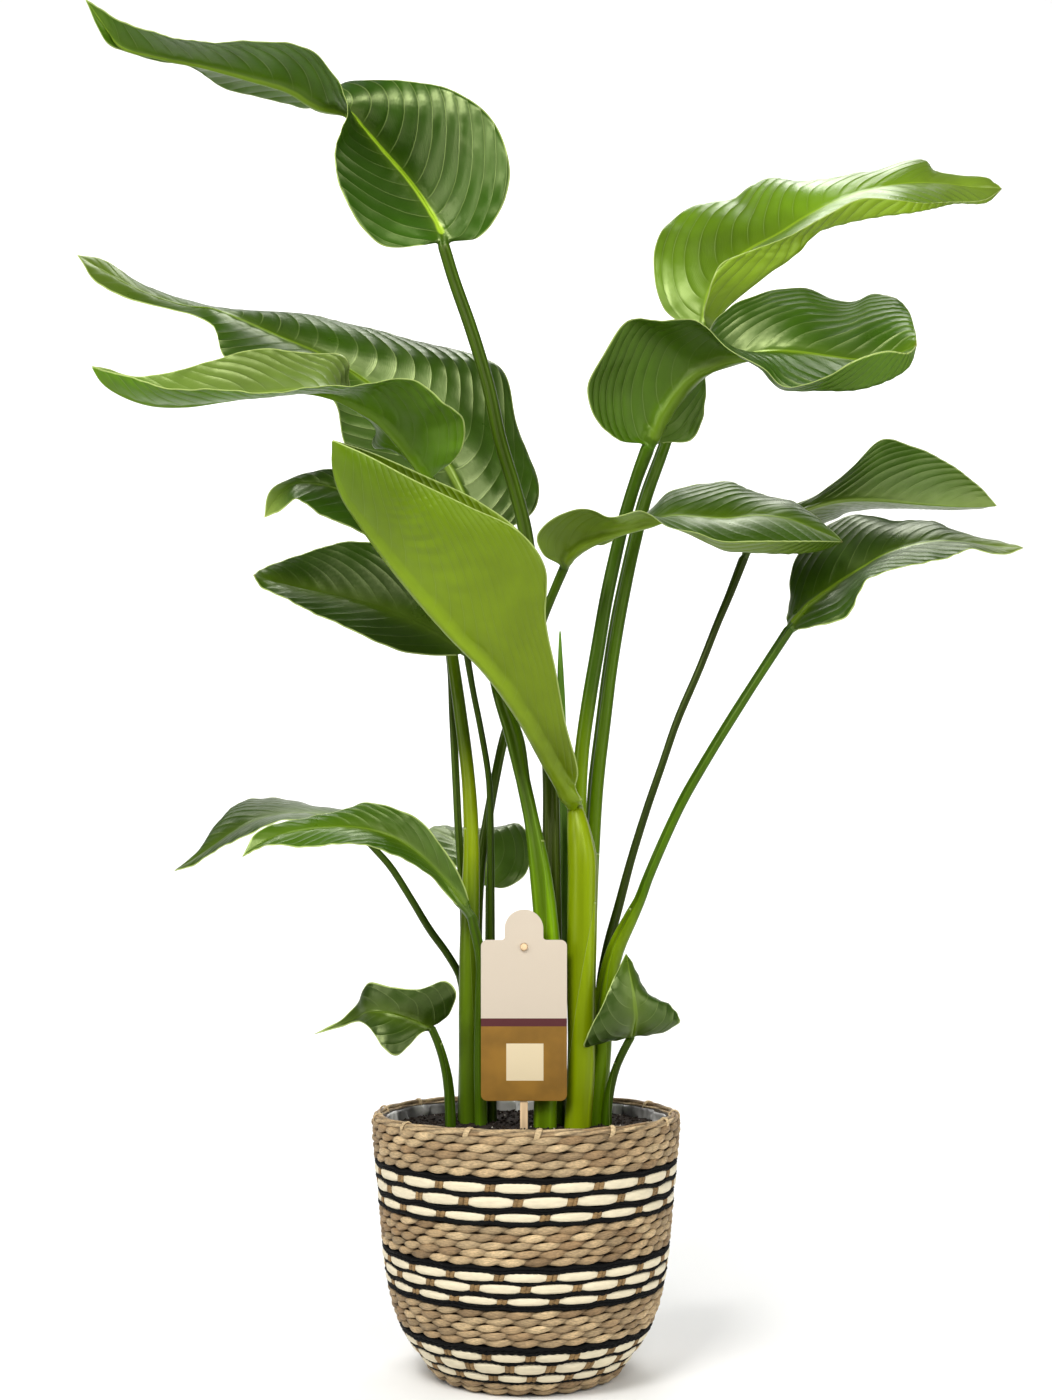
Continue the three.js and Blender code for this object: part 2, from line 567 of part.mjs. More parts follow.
// The wall's outer point at a height, moved out along the wall's normal.
function wallPoint(height, out = 0) {
  let k = 1;
  while (k < wallSamples.length - 1 && wallSamples[k].y < height) k += 1;
  const [p, q] = [wallSamples[k - 1], wallSamples[k]];
  const t = min(max((height - p.y) / (q.y - p.y), 0), 1);
  const length = hypot(q.x - p.x, q.y - p.y);
  return [
    p.x + (q.x - p.x) * t + (out * (q.y - p.y)) / length,
    p.y + (q.y - p.y) * t - (out * (q.x - p.x)) / length,
  ];
}

const bandHeight = ({ black, cream }) => [...black, ...cream].reduce((sum, h) => sum + h, 0);
const bandBottom = (stripes) => stripes.top - bandHeight(stripes);

// Tan courses fill the wall between the striped bands. Stitches swell each course, and
// every other course is half a stitch on.
function tanCourses(from, to, angle, firstCourse) {
  const count = max(1, round((to - from) / COURSE));
  const pitch = (to - from) / count;
  const points = [];
  for (let n = 0; n < count; n += 1) {
    const shift = (firstCourse + n) % 2 ? PI : 0;
    const swell = 1 - STITCH_SWELL * (1 - cos(STITCHES * angle + shift));
    points.push(wallPoint(from + (n + 0.5) * pitch, COURSE_RELIEF * swell));
    if (n + 1 < count) points.push(wallPoint(from + (n + 1) * pitch, 0));
  }
  return points;
}

function basketSection(angle) {
  const [upper, middle, lower] = BANDS;
  const rimFoot = RIM_HEIGHT - RIM_BINDING;
  const recess = (stripes) => [
    wallPoint(bandBottom(stripes), 0), wallPoint(bandBottom(stripes), -BAND_RECESS),
    wallPoint(stripes.top, -BAND_RECESS), wallPoint(stripes.top, 0),
  ];
  const inner = [230, 180, 120, 70, 40, 20].map((z) => wallPoint(z, -WALL_THICKNESS));
  return [
    [FOOT_RADIUS, 0],
    ...tanCourses(1.5, bandBottom(lower), angle, 0),
    ...recess(lower),
    ...tanCourses(lower.top, bandBottom(middle), angle, 2),
    ...recess(middle),
    ...tanCourses(middle.top, bandBottom(upper), angle, 8),
    ...recess(upper),
    ...tanCourses(upper.top, rimFoot, angle, 14),
    wallPoint(rimFoot, 0),
    wallPoint(RIM_HEIGHT - 6, RIM_RELIEF),
    [WALL.at(-1)[0] - 2, RIM_HEIGHT],
    [WALL.at(-1)[0] - WALL_THICKNESS + 1, RIM_HEIGHT - 1.5],
    ...inner,
    [FOOT_RADIUS + 2, FLOOR_THICKNESS],
  ];
}

function basketBody() {
  return piece('basket_body',
    turned(basketSection, 0, FLOOR_THICKNESS, BASKET_SIDES), COLOURS.tan, 0.85);
}

// Heights of the black and cream courses of a band, from the top down.
function courses(stripes) {
  const rows = [];
  let height = stripes.top - CLEARANCE;
  const scale = (bandHeight(stripes) - 2 * CLEARANCE) / bandHeight(stripes);
  stripes.black.forEach((black, n) => {
    rows.push({ kind: 'black', top: height, bottom: height - black * scale });
    height -= black * scale;
    if (n < stripes.cream.length) {
      const cream = stripes.cream[n] * scale;
      rows.push({ kind: 'cream', top: height, bottom: height - cream });
      height -= cream;
    }
  });
  return rows;
}

const channelFloor = -BAND_RECESS + CLEARANCE + BAND_FLOOR;

function twineBand(stripes) {
  const rows = courses(stripes).filter((row) => row.kind === 'black');
  const outline = [];
  for (const row of rows) {
    outline.push(
      wallPoint(row.top, row === rows[0] ? TWINE_PROUD * 0.3 : channelFloor),
      wallPoint((row.top + row.bottom) / 2, TWINE_PROUD),
      wallPoint(row.bottom, row === rows.at(-1) ? TWINE_PROUD * 0.3 : channelFloor),
    );
  }
  const back = -BAND_RECESS + CLEARANCE;
  outline.push(wallPoint(rows.at(-1).bottom, back), wallPoint(rows[0].top, back));
  return piece(`twine_${stripes.name}`, band(() => outline, BASKET_SIDES), COLOURS.twine, 0.8);
}

function creamCourses(stripes) {
  return courses(stripes).filter((row) => row.kind === 'cream').map((row, n) => {
    const [top, bottom] = [row.top - STRIP_SLACK, row.bottom + STRIP_SLACK];
    const back = channelFloor + CLEARANCE + 0.4;
    const section = (angle, s) => {
      const full = (s + n) % 2 ? 1 : 0;
      const proud = STRIP_PROUD + STRIP_PILLOW * (full - 0.6);
      return [
        wallPoint(top, back), wallPoint(bottom, back), wallPoint(bottom, proud), wallPoint(top, proud),
      ];
    };
    const name = `strip_${stripes.name}_${n + 1}`;
    return piece(name, band(section, STRIP_SIDES), COLOURS.cream, 0.7);
  });
}

// The liner follows the basket's inner wall and floor, with folds at its edge.
function linerSection(angle, s) {
  const crease = s % 2 ? LINER_CREASE : -LINER_CREASE;
  const outer = LINER_HEIGHTS.map((z) => wallPoint(z, LINER_OUT));
  const inner = LINER_HEIGHTS.map((z) => wallPoint(z, LINER_OUT - LINER_THICKNESS)).reverse();
  const lip = wallPoint(LINER_TOP, LINER_OUT - 1.5 + crease);
  return [
    [FOOT_RADIUS - 4, FLOOR_THICKNESS + CLEARANCE],
    ...outer,
    lip,
    [lip[0] - LINER_THICKNESS, LINER_TOP - 0.2],
    ...inner,
    [FOOT_RADIUS - 6, FLOOR_THICKNESS + CLEARANCE + LINER_THICKNESS],
  ];
}

function liner() {
  const floor = FLOOR_THICKNESS + CLEARANCE;
  const geometry = turned(linerSection, floor, floor + LINER_THICKNESS, BASKET_SIDES);
  return piece('liner', geometry, COLOURS.film, 0.35);
}

// A drawn point [x, z, depth] as it stands in space.
function place([x, z, depth]) {
  const y = depth * (1 + (SPREAD - 1) * THREE.MathUtils.smoothstep(z, SPREAD_FROM, SPREAD_TO));
  const scale = 1 + y / VIEW_DISTANCE;
  return new THREE.Vector3(x * scale, y, VIEW_HEIGHT + (z - VIEW_HEIGHT) * scale);
}

function stalkPoints(stalk) {
  const points = stalk.map(place);
  const foot = points[0].clone();
  foot.z = SOIL_EDGE + 4;
  const root = points[0].clone();
  root.z = SOIL_EDGE - ROOT_DEPTH;
  return [root, foot, ...points.slice(1)];
}

function stalkWidths(stalk) {
  return [stalk[0][3], stalk[0][3], ...stalk.slice(1).map((point) => point[3])];
}

function soil(stalks) {
  const gap = LINER_OUT - LINER_THICKNESS - CLEARANCE;
  const section = () => [
    [FOOT_RADIUS - 8, FLOOR_THICKNESS + LINER_THICKNESS + 2 * CLEARANCE],
    ...LINER_HEIGHTS.map((z) => wallPoint(z, gap)),
    wallPoint(SOIL_EDGE, gap - LINER_FOLD),
    [70, SOIL_CENTRE - 1],
  ];
  const floor = FLOOR_THICKNESS + LINER_THICKNESS + 2 * CLEARANCE;
  let body = toManifold(turned(section, floor, SOIL_CENTRE, BASKET_SIDES));
  for (const { foot, radius } of stalks) {
    const hole = (radius + 0.5) / cos(PI / HOLE_SIDES);
    const bottom = SOIL_EDGE - ROOT_DEPTH - CLEARANCE;
    const rim = () => [[hole, bottom], [hole, SOIL_CENTRE + 5]];
    const plug = turned(rim, bottom, SOIL_CENTRE + 5, HOLE_SIDES);
    plug.translate(foot.x, foot.y, 0);
    body = body.subtract(toManifold(plug));
  }
  return piece('soil', fromManifold(body), COLOURS.soil, 0.95);
}

// A ring of a stalk: `columns` points on its upper side, left to right, then as many below.
function stalkRing(centre, across, normal, radius, columns) {
  const ring = [];
  for (let k = 0; k < 2 * columns; k += 1) {
    const angle = PI - ((k + 0.5) * PI) / columns;
    ring.push(centre.clone()
      .addScaledVector(across, radius * cos(angle))
      .addScaledVector(normal, radius * sin(angle)).toArray());
  }
  return ring;
}

// Points along a stalk with no stretch longer than STALK_STEP, and the radius at each.
function stalkStations(stalk) {
  const curve = new THREE.CatmullRomCurve3(stalkPoints(stalk));
  const widths = stalkWidths(stalk);
  const count = widths.length - 1;
  const stations = [];
  for (let n = 0; n < count; n += 1) {
    const [from, to] = [curve.getPoint(n / count), curve.getPoint((n + 1) / count)];
    const steps = max(1, round(from.distanceTo(to) / STALK_STEP));
    for (let s = 0; s < steps; s += 1) {
      const t = (n + s / steps) / count;
      const width = widths[n] + ((widths[n + 1] - widths[n]) * s) / steps;
      stations.push({ point: curve.getPoint(t), tangent: curve.getTangent(t), radius: width / 2 });
    }
  }
  const end = { point: curve.getPoint(1), tangent: curve.getTangent(1), radius: widths.at(-1) / 2 };
  return [...stations.filter((station, k) => k < 2 || k % 3 === 0 || stations.length < 6), end];
}

function stalkRings(stalk, acrossAtTop, columns) {
  const stations = stalkStations(stalk);
  const rings = [];
  let across = acrossAtTop.clone();
  for (const { point, tangent, radius } of stations.reverse()) {
    across.addScaledVector(tangent, -across.dot(tangent)).normalize();
    const normal = new THREE.Vector3().crossVectors(across, tangent).normalize();
    rings.unshift(stalkRing(point, across, normal, radius, columns));
  }
  return rings;
}

// The lip curve of a leaf: turned over from its start on, a plain margin before that.
function lipCurve(leaf) {
  return leaf.right.map((edge, k) => {
    if (k >= leaf.lip.from) return leaf.lip.points[k - leaf.lip.from];
    if (k === 0) return edge;
    const rib = leaf.rib[k];
    const reach = hypot(edge[0] - rib[0], edge[1] - rib[1], edge[2] - rib[2]);
    return edge.map((value, axis) => value + (LIP * (value - rib[axis])) / reach);
  });
}

// The blade's middle surface: rows from base to tip, each from the left to the right margin.
function bladeRows(leaf) {
  const drawn = [leaf.left, leaf.rib, leaf.right];
  if (leaf.lip) drawn.push(lipCurve(leaf));
  const curves = drawn.map((points) => new THREE.CatmullRomCurve3(points.map(place)));
  const [amplitude, count, phase] = leaf.wave;
  const rows = [];
  for (let i = 1; i < leaf.stations; i += 1) {
    const t = i / leaf.stations;
    const knots = curves.map((curve) => curve.getPoint(t));
    const tangent = curves[1].getTangent(t);
    const row = [];
    for (let c = 0; c + 1 < knots.length; c += 1) {
      const strips = c < 2 ? HALF_BLADE_STRIPS : 1;
      const [from, to] = [knots[c], knots[c + 1]];
      const across = to.clone().sub(from);
      const normal = new THREE.Vector3().crossVectors(across, tangent).normalize();
      for (let s = 0; s < strips; s += 1) {
        const u = s / strips;
        const point = from.clone().lerp(to, u);
        const arch = c < 2 ? leaf.bulge * across.length() * 4 * u * (1 - u) : 0;
        const margin = c === 0 ? 1 - u : 0;
        const ripple = amplitude * sin(2 * PI * count * t + phase) * margin * margin;
        row.push(point.addScaledVector(normal, arch + ripple));
      }
    }
    row.push(knots.at(-1));
    rows.push(row);
  }
  return rows;
}

function bladeRings(leaf, rows, ribRadius) {
  const ribColumn = HALF_BLADE_STRIPS;
  return rows.map((row, i) => {
    const before = rows[max(i - 1, 0)];
    const after = rows[min(i + 1, rows.length - 1)];
    const taper = 1 - (i + 1) / leaf.stations;
    const above = [];
    const below = [];
    row.forEach((point, j) => {
      const along = after[j].clone().sub(before[j]);
      const across = row[min(j + 1, row.length - 1)].clone().sub(row[max(j - 1, 0)]);
      const normal = new THREE.Vector3().crossVectors(across, along).normalize();
      const rib = j === ribColumn ? max(ribRadius * taper, RIB_LEAST) : 0;
      above.push(point.clone().addScaledVector(normal, BLADE_THICKNESS / 2).toArray());
      below.push(point.clone().addScaledVector(normal, -BLADE_THICKNESS / 2 - rib).toArray());
    });
    return [...above, ...below.reverse()];
  });
}

function leafPiece(leaf) {
  const rows = bladeRows(leaf);
  const columns = rows[0].length;
  const across = rows[0].at(-1).clone().sub(rows[0][0]);
  const rings = stalkRings(leaf.stalk, across, columns);
  const ribRadius = leaf.stalk.at(-1)[3] / 2;
  const blade = bladeRings(leaf, rows, ribRadius);
  const root = stalkPoints(leaf.stalk)[0].toArray();
  const tip = place(leaf.rib.at(-1)).toArray();
  const geometry = loft([...rings, ...blade], root, tip, columns);
  return piece(leaf.name, geometry, leaf.light ? COLOURS.light : COLOURS.dark, 0.45);
}

// The youngest leaf, still rolled into a spear.
function spear() {
  const rings = stalkRings(SPEAR, new THREE.Vector3(1, 0, 0), 4);
  const root = stalkPoints(SPEAR)[0].toArray();
  const tip = place(SPEAR.at(-1)).add(new THREE.Vector3(0, 0, 6)).toArray();
  return piece('leaf_spear', loft(rings, root, tip, 4), COLOURS.dark, 0.5);
}

function tagCard() {
  const { width, height, bottom, corner, thickness, y, x } = CARD;
  const half = width / 2;
  const top = bottom + height;
  const shoulder = Math.sqrt(CARD_HEAD.radius ** 2 - (CARD_HEAD.z - top) ** 2);
  const headAngle = Math.atan2(top - CARD_HEAD.z, shoulder);
  const outline = new THREE.Shape();
  outline.moveTo(-half + corner, bottom);
  outline.lineTo(half - corner, bottom);
  outline.absarc(half - corner, bottom + corner, corner, -PI / 2, 0);
  outline.absarc(half - corner, top - corner, corner, 0, PI / 2);
  outline.absarc(0, CARD_HEAD.z, CARD_HEAD.radius, headAngle, PI - headAngle);
  outline.absarc(-half + corner, top - corner, corner, PI / 2, PI);
  outline.absarc(-half + corner, bottom + corner, corner, PI, 1.5 * PI);
  const hole = new THREE.Path();
  hole.absarc(0, PEG.z, PEG.radius + 0.5, 0, 2 * PI, true);
  outline.holes.push(hole);
  const geometry = new THREE.ExtrudeGeometry(outline,
    { depth: thickness, bevelEnabled: false, curveSegments: 5 });
  geometry.rotateX(PI / 2);
  geometry.translate(x, y, 0);
  return piece('tag_card', geometry, COLOURS.card, 0.7);
}

const stickCentre = () => CARD.y + CLEARANCE + STICK.thickness / 2;

function tagStick() {
  const bottom = SOIL_EDGE - ROOT_DEPTH;
  const box = new THREE.BoxGeometry(STICK.width, STICK.thickness, STICK.top - bottom);
  box.translate(CARD.x, stickCentre(), (STICK.top + bottom) / 2);
  const reach = CARD.thickness + CLEARANCE + STICK.thickness / 2 + PEG.proud;
  const rim = () => [[PEG.radius, 0], [PEG.radius, reach - 1], [PEG.radius - 1, reach]];
  const peg = turned(rim, 0, reach, HOLE_SIDES);
  peg.rotateX(PI / 2);
  peg.translate(CARD.x, stickCentre(), PEG.z);
  const body = toManifold(weldBox(box)).add(toManifold(peg));
  return piece('tag_stick', fromManifold(body), COLOURS.wood, 0.6);
}

// A box with its eight corners shared between the faces.
function weldBox(box) {
  const source = box.getAttribute('position');
  const corners = [];
  const lookup = new Map();
  const renumbered = [];
  for (let k = 0; k < source.count; k += 1) {
    const corner = [source.getX(k), source.getY(k), source.getZ(k)];
    const key = corner.map((value) => value.toFixed(3)).join();
    if (!lookup.has(key)) {
      lookup.set(key, corners.length);
      corners.push(corner);
    }
    renumbered.push(lookup.get(key));
  }
  const index = [...box.getIndex().array].map((k) => renumbered[k]);
  const triangles = [];
  for (let k = 0; k < index.length; k += 3) triangles.push(index.slice(k, k + 3));
  return solid(corners, triangles);
}

const rooted = [...LEAVES.map((leaf) => leaf.stalk), SPEAR].map((stalk) => ({
  foot: stalkPoints(stalk)[0],
  radius: stalk[0][3] / 2,
}));
rooted.push({
  foot: new THREE.Vector3(CARD.x, stickCentre(), 0),
  radius: hypot(STICK.width, STICK.thickness) / 2,
});

const basket = new THREE.Group();
basket.add(basketBody(), ...BANDS.map(twineBand), ...BANDS.flatMap(creamCourses), liner());

const plant = new THREE.Group();
plant.add(soil(rooted), ...LEAVES.map(leafPiece), spear());

const tag = new THREE.Group();
tag.add(tagCard(), tagStick());

const pottedPlant = new THREE.Group();
pottedPlant.add(basket, plant, tag);

export default pottedPlant;
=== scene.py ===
import math
import random
from collections import namedtuple
from itertools import zip_longest

import bpy
import numpy as np
from bpy.props import FloatProperty, FloatVectorProperty, IntProperty, PointerProperty
from mathutils import Matrix, Vector, noise


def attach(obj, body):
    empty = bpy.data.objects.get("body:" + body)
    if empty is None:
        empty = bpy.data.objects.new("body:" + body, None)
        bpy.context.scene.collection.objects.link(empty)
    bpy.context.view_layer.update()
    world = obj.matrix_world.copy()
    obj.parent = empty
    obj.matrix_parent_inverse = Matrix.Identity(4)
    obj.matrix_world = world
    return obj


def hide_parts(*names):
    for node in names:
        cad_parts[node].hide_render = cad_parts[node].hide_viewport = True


bl_info = {
    "name": "Potted bird of paradise",
    "version": (1, 0, 0),
    "blender": (4, 5, 0),
    "location": "View3D > Sidebar > Plant",
    "description": "Builds a bird of paradise plant in a lined, woven basket",
    "category": "Object",
}

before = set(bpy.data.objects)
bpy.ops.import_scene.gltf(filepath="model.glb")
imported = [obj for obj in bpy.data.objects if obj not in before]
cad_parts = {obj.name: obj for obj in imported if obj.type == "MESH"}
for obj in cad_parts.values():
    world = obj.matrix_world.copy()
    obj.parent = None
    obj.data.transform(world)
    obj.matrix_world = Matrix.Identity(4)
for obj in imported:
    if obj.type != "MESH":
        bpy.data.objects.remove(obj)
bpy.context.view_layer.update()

# Sizes are in millimetres where nothing else is said
MM = 0.001

# The spray is drawn as it stands from the front: each point is [x, z, depth] on the plane
# through the axis, slid back along the line of sight. Depths are spread in the upper part.
VIEW_DISTANCE = 1800
VIEW_HEIGHT = 480
SPREAD = 1.4
SPREAD_FROM = 300
SPREAD_TO = 750

# Outer radius and height of the basket's wall, foot to rim
WALL = (
    (80, 0), (93, 7), (105, 24), (118, 42), (128, 64), (134, 85),
    (139, 115), (142, 145), (145, 182), (149, 220), (151, 250), (151, 262),
)
RIM_HEIGHT = 262
RIM_RADIUS = 151
WALL_THICKNESS = 9
FLOOR_THICKNESS = 8
# Heights of the points on the basket's wall, up its outside and down its inside
OUTER_HEIGHTS = (1.5, 8, 16, 30, 45, 60, 80, 100, 130, 160, 190, 220, 245, 257)
INNER_HEIGHTS = (257, 240, 200, 150, 100, 60, 35, 20)
# Pairs of strands along the rim: distance in from the wall's outside and down from its top,
# their radius, and half turns round the rim
RIM_STRANDS = (
    (0.9, 4.6, 2.5, 27), (3.9, 2.8, 2.6, 21), (6.3, 5.8, 2.2, 25), (6.6, 9.8, 2.2, 23),
)
# A tie's path over the rim: radius, and distance down from the rim's top
TIE_PATH = (
    (150, 12), (152.4, 8), (152.9, 4.4), (151, 0.8), (147, -0.2), (143.8, 2.6), (142.6, 7),
    (143.6, 12),
)
# Heights between which the tan courses run
TAN_FROM, TAN_TO = 2.4, RIM_HEIGHT - 6.5
# A stitch reaches past its step, leans and stands as high as these shares of its course. Its
# middle stands out from its ends, which are sunk in the wall.
STITCH_REACH, STITCH_LEAN, STITCH_HALF_HEIGHT = 1.42, 0.22, 0.53
STITCH_OUT, STITCH_SUNK, STITCH_HALF_DEPTH = 3.4, 2.3, 2.0
# How far the wall lies behind the stitches, and the backings of the black courses behind it
WALL_BACK = 3.2
TWINE_BACK = (1.9, 3.1)
# Radii of the flat foot, and of the floors in the basket, in the liner and under the soil
FOOT_FLAT, FLOOR_FLAT, LINER_FLAT, SOIL_FLAT = 78, 82, 76, 73
# Painted shade: how dark the wall is tinted between its stitches, where shade falls
PAINTED_GAP_SHADE = 0.16

# Where the liner's wall stands against the basket's outside, the heights of its points, and
# those from which it creases and its edge rises and falls, with the height over which they grow
LINER_OUT = -9.8
LINER_THICKNESS = 0.7
LINER_FLOOR = FLOOR_THICKNESS + 0.3
LINER_HEIGHTS = np.array([24, 42, 75, 140, 200, 225, 234, 240, 245, 249, 252.5, 255.5])
CREASED, FOLDED = (215, 35), (235, 20)
# Soil: the heights of its floor, its wall's points and its top, the height by which its middle
# domes, and how far the stalks go down into it
SOIL_BOTTOM = 10.5
SOIL_WALL = (24, 42, 75, 140, 230)
SOIL_DOME = 2.0
SOIL_HEIGHT = 247
ROOT_DEPTH = 26
# One soil crumb in this many is a pale grain
PALE_EVERY = 24

# Striped bands: top height, then black and cream courses from the top down
BANDS = (
    {"name": "upper", "top": 218, "black": (5.6, 3.8, 5.4, 4.2), "cream": (9.2, 10, 7.8)},
    {"name": "middle", "top": 134.5, "black": (6.4, 2.6, 4, 6), "cream": (8.2, 8.4, 7)},
    {"name": "lower", "top": 56.5, "black": (7.4, 3, 2.4, 2.6), "cream": (8.2, 10.4, 7.2)},
)
# Angle of the first wrap of each cream course, as a share of one step
WRAP_STARTS = {"upper": (0.35, 0.85, 0.35), "middle": (0.5, 0.0, 0.55), "lower": (0.1, 0.6, 0.15)}
STEPS_PER_WRAP = 20
# Section of a cream strip: where its points lie across it, and how far out they stand
STRIP_ACROSS = np.array([-1, -0.93, -0.6, 0, 0.6, 0.93, 1, 0.6, -0.6])
STRIP_FRONT = np.array([0.25, 0.8, 1.0, 1.06, 1.0, 0.8, 0.25, 0, 0])

CARD = {
    "width": 84, "height": 157.5, "bottom": 275.3, "corner": 6, "thickness": 1.2, "y": -34, "x": -2,
}
CARD_HEAD = {"radius": 18.8, "z": 443.8}
PEG = {"radius": 3.6, "z": 426, "proud": 3}
STICK = {"width": 7.6, "thickness": 3, "top": 436}
# In metres: the card's bevel, the heights of its dark band, the middle and half width of its
# pale square, and how soft the edges between them are
CARD_BEVEL = 0.0002
BAND_BOTTOM, BAND_TOP = 0.3482, 0.356
SQUARE_X, SQUARE_Z, SQUARE_HALF = -0.0011, 0.3132, 0.0182
PRINT_SOFT = 0.0002

# Plain materials: scale, detail, roughness and stretch of their noise; its span and the tones
# at both ends; roughness; distance and strength of the bump; specular level
SOIL_LOOK = ((260, 4, 0.7), (0.3, 0.7, 0.45, 1.7), 0.92, (0.002, 0.9), 0.2)
LOOKS = {
    "tan_cord": ((230, 4, 0.65, 4.5), (0.28, 0.72, 0.6, 1.28), 0.62, (0.0012, 0.7), 0.3),
    "black_cord": ((400, 4, 0.65, 4.5), (0.28, 0.72, 0.7, 1.21), 0.7, (0.0012, 0.7), 0.1),
    "cream_band": ((60, 4, 0.65, 4.5), (0.28, 0.72, 0.9, 1.07), 0.45, (0.0012, 0.7), 0.3),
    "film": ((30, 2.5, 0.5, 0.6), (0.4, 0.62, 0.5, 2.2), 0.16, (0.009, 1.0), 0.7),
    "soil": SOIL_LOOK,
    "pale_grain": SOIL_LOOK,
    "wood": ((320, 3, 0.6, 0.04), (0.3, 0.7, 0.82, 1.1), 0.6, (0.0004, 0.3), 0.3),
}

# Lights, in metres: place, target, size and colour. The stage's settings hold their power.
LIGHTS = {
    "key": ((-0.8, -1.8, 2.4), (0, 0, 0.7), (0.9, 0.9), (1.0, 0.99, 0.97)),
    "front": ((0.5, -2.3, 1.9), (0, 0, 1.0), (0.5, 1.4), (1.0, 1.0, 0.98)),
    "side": ((-2.0, -1.0, 1.3), (0, 0, 1.2), (0.35, 1.5), (1.0, 1.0, 0.98)),
    "fill": ((2.1, -1.3, 1.0), (0, 0, 0.6), (1.4, 1.8), (1.0, 1.0, 0.97)),
    "top": ((0.4, 1.2, 2.9), (0, 0, 0.8), (0.8, 0.8), (1.0, 1.0, 1.0)),
    "backdrop": ((0, 1.5, 2.6), (0, 3.0, 0.9), (3.0, 0.8), (1.0, 1.0, 1.0)),
}

# Distance of each column of a half blade from the rib, as a share of the half's width, and of
# each column of a turned-over lip from the margin
ACROSS = np.array([
    0, 0.02, 0.05, 0.09, 0.14, 0.2, 0.27, 0.34, 0.41, 0.48, 0.55, 0.62, 0.69, 0.76, 0.83, 0.9,
    0.96, 1,
])
LIP_COLUMNS = (0.12, 0.3, 0.5, 0.7, 0.88, 1)
# How far a plain margin stands from the blade's edge, on a leaf that has a lip
LIP = 2
# Distance between main veins and between the fine ones, how far the main ones waver, and the
# length along the rib over which they waver by one radian
VEIN_STEP = 20
FINE_STEP = 1.9
VEIN_WAVER, WAVER_LENGTH = 3.5, 31
# Share of a blade over which its stalk runs into it
RUN_IN = 0.07
# Half the angle that the channel along a stalk spans, and where the channel begins above the
# soil and over what height
CHANNEL, CHANNEL_FOOT, CHANNEL_RISE = 0.55, 20, 120
# What a stalk gives as its distance from a margin, and from a midrib in radii of the rib
NO_EDGE, NO_RIB = 30, 5
# A leaf's material slots
UPPER, LOWER, STALK = 0, 1, 2
# Factors that turn the colours of stalks and blades in PAINT into those of their surfaces
STALK_CAST = np.array([1.0, 0.8, 0.5])
BLADE_CAST = np.array([0.78, 0.76, 0.5])
# Colour of the light that comes through a blade
LEAF_GLOW = (0.30, 0.48, 0.01)

